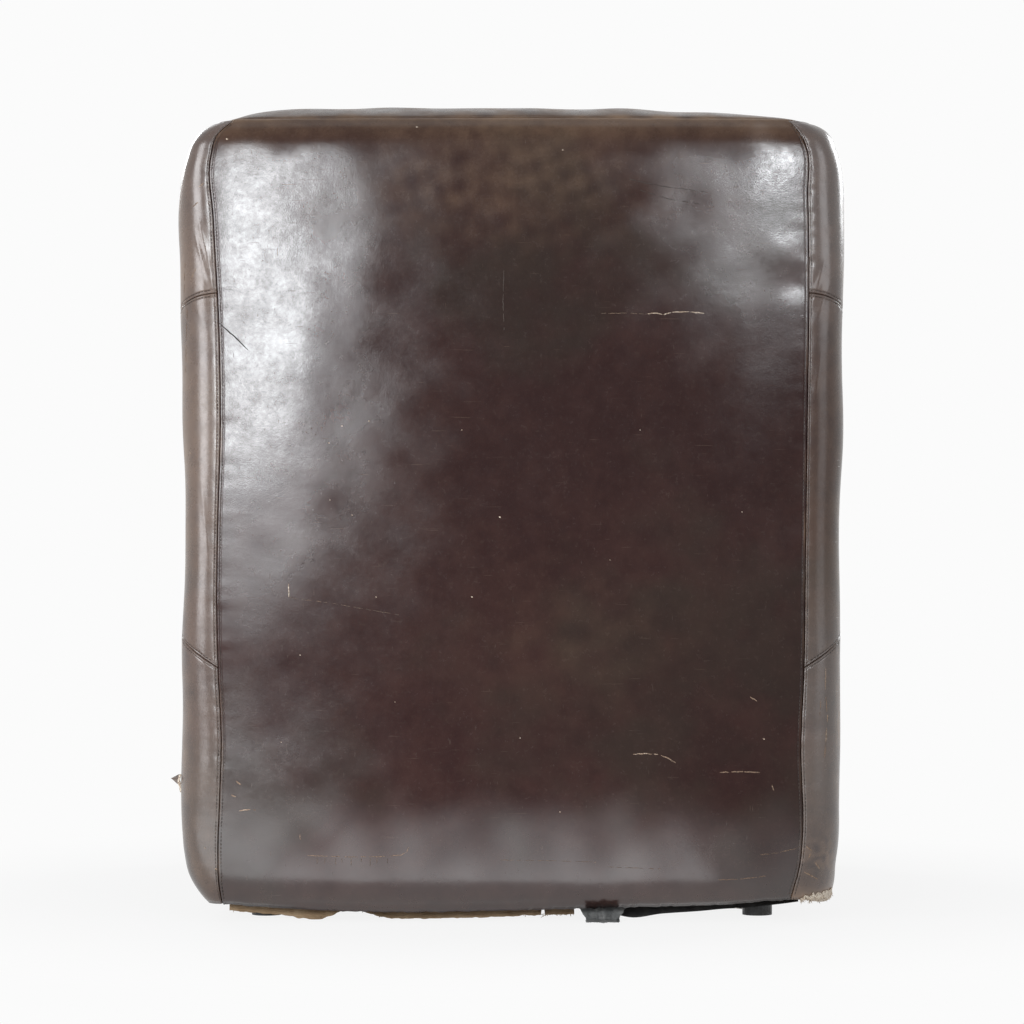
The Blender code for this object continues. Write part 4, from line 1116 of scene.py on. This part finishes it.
def under_cloths():
    """What hangs below the leather: the hessian strip with its torn edge, the grey torn flap, which falls
    and then runs out along the floor, and the black dust cover, which sags at its rear edge."""
    left, right = 0.318, -0.070
    x, level = np.meshgrid(np.linspace(right, left, 260), np.linspace(0, 1, 16))
    edge = through(HESSIAN_EDGE, x) + 0.0005 * ripple(x, 0 * x, 0.012, 101)
    edge = edge + 0.0002 * ripple(x, 0 * x, 0.004, 102)
    edge = edge + 0.022 * np.exp(-((x - across(543.5)) / 0.0011) ** 2)
    edge = np.maximum(edge, 0.0015)
    z = edge + (0.040 - edge) * level
    below = np.clip((0.024 - z) / 0.024, 0, 1)
    y = 0.3415 + (0.010 + 0.002 * np.sin(40 * x)) * below + 0.0010 * ripple(x, z, 0.02, 103) * below
    strip_points = np.stack([x, y, z], -1)
    strip = sheet_piece("hessian_under_cover", strip_points, (0, 1, 0), HESSIAN, None, 0.0010)
    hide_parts("hessian_strip")
    u, v = np.meshgrid(np.linspace(0, 1, 60), np.linspace(0, 1, 60))
    fall = np.sin(np.minimum(v / 0.55, 1) * np.pi / 2)
    z = 0.040 - 0.0385 * fall + 0.0007 * np.sin(u * 7) ** 2 * v + 0.0008 * np.abs(ripple(u, v, 0.3, 104)) * v
    y = 0.3415 + 0.046 * v * (1 + 0.06 * ripple(u, 0 * u, 0.25, 105))
    narrow = np.clip((0.0190 - z) / 0.0165, 0, 1)
    x = -0.072 - 0.059 * (0.5 + (u - 0.5) * (1 - 0.38 * narrow)) + 0.0009 * ripple(z, u, 0.004, 107)
    flap_points = np.stack([x, y, z], -1)
    flap = sheet_piece("torn_cloth_flap", flap_points, (0, 0.3, 1), GREY_CLOTH, None, 0.0010)
    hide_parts("torn_flap")
    x, y = np.meshgrid(np.linspace(-0.323, 0.323, 160), np.linspace(-0.373, 0.337, 90))
    depth = np.maximum(through(DUST_SAG, x), 0.0) * np.clip((y - 0.316) / 0.021, 0, 1) ** 1.5
    z = 0.0232 - depth - 0.0003 * (1 + ripple(x, y, 0.06, 106))
    cover_points = np.stack([x, y, z], -1)
    cover = sheet_piece("dust_cover_cloth", cover_points, (0, 0, -1), DUST_CLOTH, None, 0.0006)
    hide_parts("dust_cover")


# Sewing, damage and small things

def lift(points, normals, height):
    """Points moved along their normals."""
    return points + normals * height


def seam_threads():
    """The twin rows of stitches beside each rear seam, and beside the two curved seams of each side."""
    for side in (LEFT, RIGHT):
        z = np.linspace(OUTLINE[side][0][0] + 0.004, PANEL_TOP - 0.003, 500)
        wide = np.stack([z, z], -1)
        run = np.broadcast_to(np.array([STITCH_LINE, STITCH_LINE + 0.001]), wide.shape)
        on_side = side_points(side, run, wide)
        normal = unit_normals(on_side, (side * 0.3, 1.0, 0.0))
        lines = [(lift(on_side[:, 0], normal[:, 0], -0.0003), normal[:, 0])]
        x = side * (rear_seam(side, wide) - STITCH_LINE - np.array([0.001, 0.0]))
        on_back = np.stack([x, rear_y(x, wide), wide], -1)
        normal = unit_normals(on_back, (0, 1, 0))
        lines.append((lift(on_back[:, 1], normal[:, 1], -0.0003), normal[:, 1]))
        stitched("rear_seam_thread_" + WORDS[side], lines)
        lines = []
        for seam in (upper_seam, lower_seam):
            last = run_to(BACK_FRONT) if seam is upper_seam else run_to(-HALF_DEPTH + 0.01)
            run = np.linspace(0.006, last, 400)
            for offset in (STITCH_LINE, -STITCH_LINE):
                wide = np.stack([seam(run) + offset, seam(run) + offset + 0.001], -1)
                on_side = side_points(side, np.stack([run, run], -1), wide)
                normal = unit_normals(on_side, (side, 0.2, 0.0))
                lines.append((lift(on_side[:, 0], normal[:, 0], -0.0003), normal[:, 0]))
        stitched("side_seam_thread_" + WORDS[side], lines)


def on_cover(column, row):
    """The place on the rear leather behind pixel columns and rows, with its normal: on the outside back
    between the rear seams, and past them on the round of the side cover."""
    column, row = np.asarray(column, float), np.asarray(row, float)
    x, z = across(column), up(row)
    for _ in range(3):
        reach = (CAMERA_Y - rear_y(x, z)) / (CAMERA_Y - HALF_DEPTH)
        x, z = across(column) * reach, CAMERA_HEIGHT + (up(row) - CAMERA_HEIGHT) * reach
    side = LEFT if x.mean() > 0 else RIGHT
    seam = rear_seam(side, z)
    past = np.abs(x) > seam

    def place(x, z):
        """The surface at a place across and up, on the back or past its seam."""
        share = np.clip((np.abs(x) - seam) / np.maximum(half_width(side, z) - seam, 1e-4), 0, 0.995)
        run = np.arcsin(share) / (np.pi / 2) * CORNER_RUN
        back = np.stack([x, rear_y(x, z), z], -1)
        return np.where(past[..., None], side_points(side, run, z), back)

    here = place(x, z)
    normal = np.cross(place(x, z + 0.0005) - here, place(x - 0.0005, z) - here)
    normal /= np.maximum(np.linalg.norm(normal, axis=-1, keepdims=True), 1e-12)
    return here, np.where(normal[..., 1:2] < 0, -normal, normal)


# Marks on the rear leather, in pixels: points of the line, width, paleness from 0 to 1, and how broken it is
MARKS = [
    ([(217, 321), (226, 329), (236, 338), (248, 350)], 1.5, 0.05, 0.0),
    ([(601, 313.5), (625, 313), (647, 314)], 0.7, 0.55, 0.4),
    ([(647, 314), (656, 312.8), (663, 314.6), (672, 312.2), (688, 311.6), (704, 313.4)], 1.3, 0.95, 0.1),
    ([(288.6, 584), (288.9, 597)], 1.2, 1.0, 0.0),
    ([(289, 597.5), (330, 603), (365, 609), (399, 615)], 0.6, 0.5, 0.5),
    ([(307, 855.5), (350, 857), (385, 856.5), (401, 855), (407, 851.5), (408.5, 847)], 0.8, 0.62, 0.35),
    ([(300, 834), (300.4, 840)], 0.9, 0.7, 0.0),
    ([(236, 781), (241, 785)], 1.6, 0.7, 0.2),
    ([(231, 795), (236, 797)], 1.4, 0.7, 0.2),
    ([(239, 811), (248, 809.5), (256, 810)], 1.2, 0.7, 0.4),
    ([(633, 754.5), (645, 753.4), (658, 754.5)], 1.2, 0.80, 0.25),
    ([(661, 755.5), (668, 758), (676, 763)], 1.2, 0.80, 0.2),
    ([(720, 772.5), (738, 771.6), (760, 772.4)], 1.5, 0.66, 0.35),
    ([(750, 697), (757, 701)], 1.1, 0.8, 0.1),
    ([(772, 785), (774, 791)], 1.1, 0.7, 0.1),
    ([(500, 860), (545, 860.6), (596, 862)], 0.6, 0.5, 0.45),
    ([(608, 867), (661, 869)], 0.6, 0.5, 0.45),
    ([(718, 880), (742, 879), (766, 876)], 0.9, 0.62, 0.3),
    ([(760, 855), (779, 852.6), (798, 848)], 0.9, 0.55, 0.3),
    # The next two dark lines are painted shade along small creases, drawn as dark fibres
    ([(629, 179), (660, 186), (707, 192)], 0.8, 0.15, 0.3),
    ([(640, 190), (668, 199), (700, 204)], 0.8, 0.15, 0.3),
    ([(504, 270), (503, 300), (504, 330)], 0.9, 0.30, 0.5),
    ([(196, 268), (190, 279)], 1.0, 0.8, 0.1),
    ([(199, 187), (204, 183)], 1.2, 0.85, 0.0),
    ([(192, 207), (198, 202)], 1.2, 0.75, 0.0),
    ([(826, 668), (825.5, 690), (827, 712)], 1.4, 0.72, 0.55),
    ([(828, 715), (826.5, 735), (825, 758)], 1.6, 0.72, 0.55),
    ([(821, 700), (820, 716)], 1.0, 0.6, 0.3),
    ([(806, 846), (812, 851), (809, 858)], 1.5, 0.7, 0.4),
    ([(815, 862), (820, 869)], 1.5, 0.75, 0.4),
    ([(804, 872), (812, 876), (819, 880)], 1.6, 0.75, 0.45),
    ([(186, 309), (184, 340), (183.5, 372)], 1.5, 0.60, 0.6),
    ([(184, 262), (182.5, 292)], 1.5, 0.62, 0.5),
]
# Specks on the rear leather: pixel column, row and half size
SPECKS = [(369, 421, 0.9), (342, 426, 0.8), (329, 443, 0.8), (462, 430, 0.7), (352, 515, 0.8),
          (330, 500, 0.7), (500, 517, 1.1), (376, 597, 0.8), (563, 150, 0.9), (417, 127, 1.1),
          (227, 139, 1.2), (189, 453, 1.0), (764, 739, 1.0), (216, 869, 1.2), (472, 597, 1.0),
          (205, 848, 0.8), (395, 702, 0.6), (520, 738, 0.6), (560, 812, 0.7), (640, 430, 0.6),
          (742, 512, 0.6), (610, 560, 0.6), (300, 655, 0.7), (281, 742, 0.7)]


def surface_marks():
    """Scratches and specks: thin raised fibres that lie on the leather, their width uneven and their line
    broken; two dark lines among them are painted shade along creases."""
    random = np.random.default_rng(7)
    tubes, tones = [], []
    for line, width, tone, broken in MARKS:
        line = np.array(line, float)
        length = np.concatenate([[0.0], np.cumsum(np.hypot(*np.diff(line, axis=0).T))])
        start = 0.0
        while start < length[-1] - 0.5:
            span_length = length[-1] - start if broken == 0 else random.uniform(4, 22)
            end = min(start + span_length, length[-1])
            at = np.linspace(start, end, max(int(end - start) + 2, 5))
            column = np.interp(at, length, line[:, 0]) + 0.25 * ripple(at, 0 * at, 5.0, 111)
            row = np.interp(at, length, line[:, 1]) + 0.25 * ripple(at, 0 * at, 6.0, 112)
            here, normal = on_cover(column, row)
            taper = np.sin(np.pi * np.linspace(0.06, 0.94, len(at))) ** 0.6
            half = 0.5 * width * PIXEL * taper * (0.75 + 0.35 * random.random(len(at)))
            tubes.append(swept(lift(here, normal, 0.00005), normal, half, 0.00016 * taper, 6))
            tones.append(tone * random.uniform(0.85, 1.05))
            start = end + broken * random.uniform(2, 14)
    for column, row, size in SPECKS:
        at = np.linspace(-1, 1, 5)
        here, normal = on_cover(column + at * size, row + 0.3 * at)
        shape = np.sqrt(1.02 - at * at)
        half = size * PIXEL * shape * 0.7
        tubes.append(swept(lift(here, normal, 0.00005), normal, half, 0.0002 * shape, 6))
        tones.append(random.uniform(0.8, 1.0))
    for column in np.arange(318, 392, 8.5):
        at = np.linspace(0, 1, 5)
        here, normal = on_cover(column + random.uniform(-2, 2) + 0 * at, 858.5 + at * random.uniform(3, 8))
        tubes.append(swept(lift(here, normal, 0.00005), normal, 0.00035, 0.00012, 6))
        tones.append(random.uniform(0.35, 0.5))
    marks = joined("scratches_specks_and_crease_shade", tubes, FIBRES_AND_CREASE_SHADE, "tone", tones)


def torn_leather():
    """The frayed right-hand bottom corner, and the torn spike of leather at the left edge."""
    random = np.random.default_rng(11)
    tubes, tones = [], []
    for _ in range(190):
        column = random.uniform(800, 834)
        row = 899.5 + 1.5 * math.sin(column * 0.7) - 0.10 * max(column - 826, 0.0) ** 1.3
        here, normal = on_cover(np.array([column]), np.array([row - random.uniform(0, 3)]))
        reach = random.uniform(0.0012, 0.0042)
        way = np.array([random.normal(0, 0.4), random.normal(0.1, 0.15), -1.0])
        way /= np.linalg.norm(way)
        share = np.linspace(0, 1, 6)[:, None]
        curl = np.array([random.normal(0, 1), 0.2, -0.2]) * 0.30
        path = here[0] + normal[0] * 0.0004 + (way * share + curl * share ** 2) * reach
        path[:, 2] = np.maximum(path[:, 2], 0.0012)
        girth = random.uniform(0.0003, 0.0007) * np.linspace(1, 0.30, 6)
        tubes.append(swept(path, np.tile(normal[0], (6, 1)), girth, girth, 5))
        tones.append(random.uniform(0.9, 1.5))
    fringe = joined("torn_corner_fringe", tubes, FIBRES_AND_CREASE_SHADE, "tone", tones)
    share = np.linspace(0, 1, 12)[:, None]
    base, tip = np.array([0.3750, 0.330, 0.1570]), np.array([0.3850, 0.332, 0.1583])
    taper = np.clip(1.25 * (1 - share[:, 0]), 0.05, 1.0)
    facing = np.tile([0.0, 1.0, 0.0], (12, 1))
    spike = swept(base + (tip - base) * share, facing, 0.0056 * taper, 0.0009 * taper, 10)
    torn = joined("torn_edge_spike", [spike], HIDE, "pale_share", [0.25])
    lip = np.array([[0.3722, 0.330, 0.1632], [0.3752, 0.331, 0.1612], [0.3765, 0.331, 0.1560],
                    [0.3752, 0.331, 0.1500], [0.3738, 0.330, 0.1440], [0.3722, 0.330, 0.1385]])
    at = np.linspace(0, 5, 40)
    path = np.stack([np.interp(at, range(6), lip[:, n]) for n in range(3)], -1)
    wide = 0.0017 * np.sin(np.pi * np.linspace(0.08, 0.92, 40)) * (1 + 0.3 * ripple(at, 0 * at, 1.2, 121))
    tube = swept(path, np.tile([0.1, 1.0, 0.0], (40, 1)), wide, 0.0006, 8)
    curl = joined("torn_edge_curl", [tube], FIBRES_AND_CREASE_SHADE, "tone", [1.0])


def torn_lining():
    """Pale torn suede along the right-hand bottom corner, its upper edge ragged."""
    share, level = np.meshgrid(np.linspace(0, 1, 110), np.linspace(0, 1, 16))
    column = 801 + 32.5 * share
    upper = 897.0 - 6.5 * share + 1.3 * ripple(column, 0 * column, 5.0, 131)
    upper = upper + 0.7 * ripple(column, 0 * column, 1.8, 132)
    lower = 899.0 + 3.4 * np.minimum(share * 1.6, 1.0) - 2.0 * np.clip(share - 0.8, 0, 1) * 5
    here, normal = on_cover(column, lower + (np.minimum(upper, lower - 1.0) - lower) * level)
    rough = 0.0007 + 0.0004 * np.abs(ripple(column, level * 8, 2.5, 133))
    points = here + normal * rough[..., None]
    tone = 1.35 + 0.30 * ripple(column, level * 6, 3.0, 134) - 0.5 * np.clip(level - 0.7, 0, 1)
    piece = sheet_piece("torn_corner_suede", points, (0, 1, 0), FIBRES_AND_CREASE_SHADE, {"tone": tone}, 0.0005)


def frayed_threads():
    """Loose threads of the hessian along its torn lower edge, thickest where it ends beside the flap."""
    random = np.random.default_rng(13)
    tubes = []
    places = [(random.uniform(-0.068, -0.034), 0.8) for _ in range(14)] + [(random.uniform(-0.06, 0.316), 0.6)
                                                                            for _ in range(50)]
    for x, size in places:
        low = float(through(HESSIAN_EDGE, np.array([x]))[0])
        share = np.linspace(0, 1, 8)
        reach = random.uniform(0.002, 0.006) * size
        height = low + 0.002 - reach * share * random.uniform(0.4, 1.0)
        path = np.stack([x + reach * random.normal(0, 0.8) * share ** 1.5,
                         0.3525 + 0.002 * share * random.random(), np.maximum(height, 0.0008)], -1)
        tubes.append(swept(path, np.tile([0.0, 1.0, 0.0], (8, 1)), 0.00032, 0.00032, 5))
    threads = joined("hessian_frayed_threads", tubes, HESSIAN)
    at = np.linspace(-1, 1, 15)[:, None]
    path = np.array([across(739) * 1.013, 0.3380, 0.0122]) + at * np.array([0.0042, 0.0, 0.0006])
    path[[0, 1, -2, -1], 1] -= np.array([0.0012, 0.0003, 0.0003, 0.0012])
    tube = swept(path, np.tile([0.0, 1.0, 0.0], (15, 1)), 0.0006, 0.0004, 6)
    staple = joined("cover_staple", [tube], STAPLE)


# Stage, light and camera

def stage():
    """A pale floor: its own shading shows near the chair, with the shadow, and fades to plain white away
    from it."""
    size = 30.0
    floor = bpy.data.meshes.new("floor")
    corners = [(-size, -size, 0), (size, -size, 0), (size, size, 0), (-size, size, 0)]
    floor.from_pydata(corners, [], [(0, 1, 2, 3)])
    material, tree, shader, place = start_material("pale_floor", 0.8)
    shader.inputs["Base Color"].default_value = (0.86, 0.86, 0.86, 1.0)
    shader.inputs["Specular IOR Level"].default_value = 0.2
    path = node(tree, "LightPath")
    seen = maths(tree, "MAXIMUM", path.outputs["Is Camera Ray"], path.outputs["Is Glossy Ray"])
    seen = maths(tree, "MAXIMUM", seen, path.outputs["Is Transmission Ray"])
    white = node(tree, "Emission", {"Color": (0.965, 0.965, 0.965, 1.0), "Strength": 1.0}).outputs[0]
    away = node(tree, "VectorMath", {0: place}, operation="LENGTH").outputs["Value"]
    cover = span(tree, away, 0.40, 1.0, 0.90, 1.0)
    mixed = node(tree, "MixShader", {0: maths(tree, "MULTIPLY", seen, cover), 1: shader.outputs[0], 2: white})
    tree.links.new(mixed.outputs[0], tree.nodes["Material Output"].inputs["Surface"])
    floor.materials.append(material)
    plane = bpy.data.objects.new("floor", floor)
    bpy.context.scene.collection.objects.link(plane)


def world_light():
    """White to the camera, in reflections and through glass; a soft dim light on everything else."""
    world = bpy.data.worlds.new("studio")
    bpy.context.scene.world = world
    world.use_nodes = True
    tree = world.node_tree
    tree.nodes.clear()
    path = node(tree, "LightPath")
    seen = node(tree, "Background", {"Color": (0.965, 0.965, 0.965, 1.0), "Strength": 1.0}).outputs[0]
    soft = node(tree, "Background", {"Color": (0.96, 0.98, 1.0, 1.0), "Strength": 0.10}).outputs[0]
    clear = maths(tree, "MAXIMUM", path.outputs["Is Camera Ray"], path.outputs["Is Glossy Ray"])
    clear = maths(tree, "MAXIMUM", clear, path.outputs["Is Transmission Ray"])
    mixed = node(tree, "MixShader", {0: clear, 1: soft, 2: seen})
    made = tree.nodes.new("ShaderNodeOutputWorld")
    tree.links.new(mixed.outputs[0], made.inputs["Surface"])


def lamp(name, place, target, wide, high, power, colour=(0.95, 0.98, 1.0)):
    """A rectangular softbox at a place, turned to its target and hidden from the camera."""
    light = bpy.data.lights.new(name, "AREA")
    light.shape = "RECTANGLE"
    light.size, light.size_y = wide, high
    light.energy = power
    light.color = colour
    made = bpy.data.objects.new(name, light)
    made.location = place
    made.rotation_euler = (Vector(target) - Vector(place)).to_track_quat("-Z", "Y").to_euler()
    made.visible_camera = False
    bpy.context.scene.collection.objects.link(made)


def lights():
    """Softboxes behind the chair, low and near the camera's line, where the back's bright areas mirror
    them; one broad panel each side for the rounded corners; one overhead for the rolled top; two in front
    for the seat."""
    lamp("rear_left_softbox", (1.21, 3.70, 1.00), (0.25, 0.4, 0.66), 1.02, 0.80, 38.0, (0.93, 0.97, 1.0))
    lamp("rear_left_low_softbox", (1.33, 3.70, 0.38), (0.30, 0.4, 0.50), 0.70, 0.44, 2.6, (0.93, 0.97, 1.0))
    lamp("rear_right_softbox", (-1.24, 3.70, 1.31), (-0.28, 0.4, 0.80), 0.60, 0.32, 18.0, (0.93, 0.97, 1.0))
    lamp("left_panel", (2.9, 1.9, 1.0), (0.35, 0.3, 0.5), 1.5, 1.6, 46.0, (0.98, 0.98, 1.0))
    lamp("right_panel", (-2.9, 1.9, 1.0), (-0.35, 0.3, 0.5), 1.5, 1.6, 15.0, (0.98, 0.98, 1.0))
    lamp("floor_bounce", (0.36, 0.72, 0.012), (0.36, 0.715, 1.0), 1.2, 0.56, 3.3)
    lamp("overhead_panel", (0.0, 0.6, 2.7), (0.0, 0.3, 0.9), 1.6, 0.8, 7.0)
    lamp("front_left_softbox", (1.8, -3.0, 1.9), (0.0, 0.0, 0.5), 1.2, 1.2, 50.0)
    lamp("front_right_softbox", (-2.4, -2.4, 1.7), (0.0, 0.0, 0.5), 1.2, 1.2, 40.0)


def camera():
    """A long lens straight behind the chair, at half its height."""
    data = bpy.data.cameras.new("camera")
    data.lens = LENS
    data.sensor_width = 36.0
    made = bpy.data.objects.new("camera", data)
    made.location = (0.0, CAMERA_Y, CAMERA_HEIGHT)
    made.rotation_euler = (math.pi / 2, 0.0, math.pi)
    bpy.context.scene.collection.objects.link(made)
    bpy.context.scene.camera = made


def build():
    """Every piece of the chair, from its frame outwards."""
    dress_frame()
    outside_back()
    crown_cover()
    padding()
    for side in (LEFT, RIGHT):
        side_covers(side)
        arm_cover(side)
        arm_front(side)
    front_border()
    seat_cushion()
    inside_back()
    under_cloths()
    seam_threads()
    surface_marks()
    torn_leather()
    torn_lining()
    frayed_threads()


bpy.context.scene.view_settings.view_transform = "Standard"
stage()
world_light()
lights()
camera()
build()
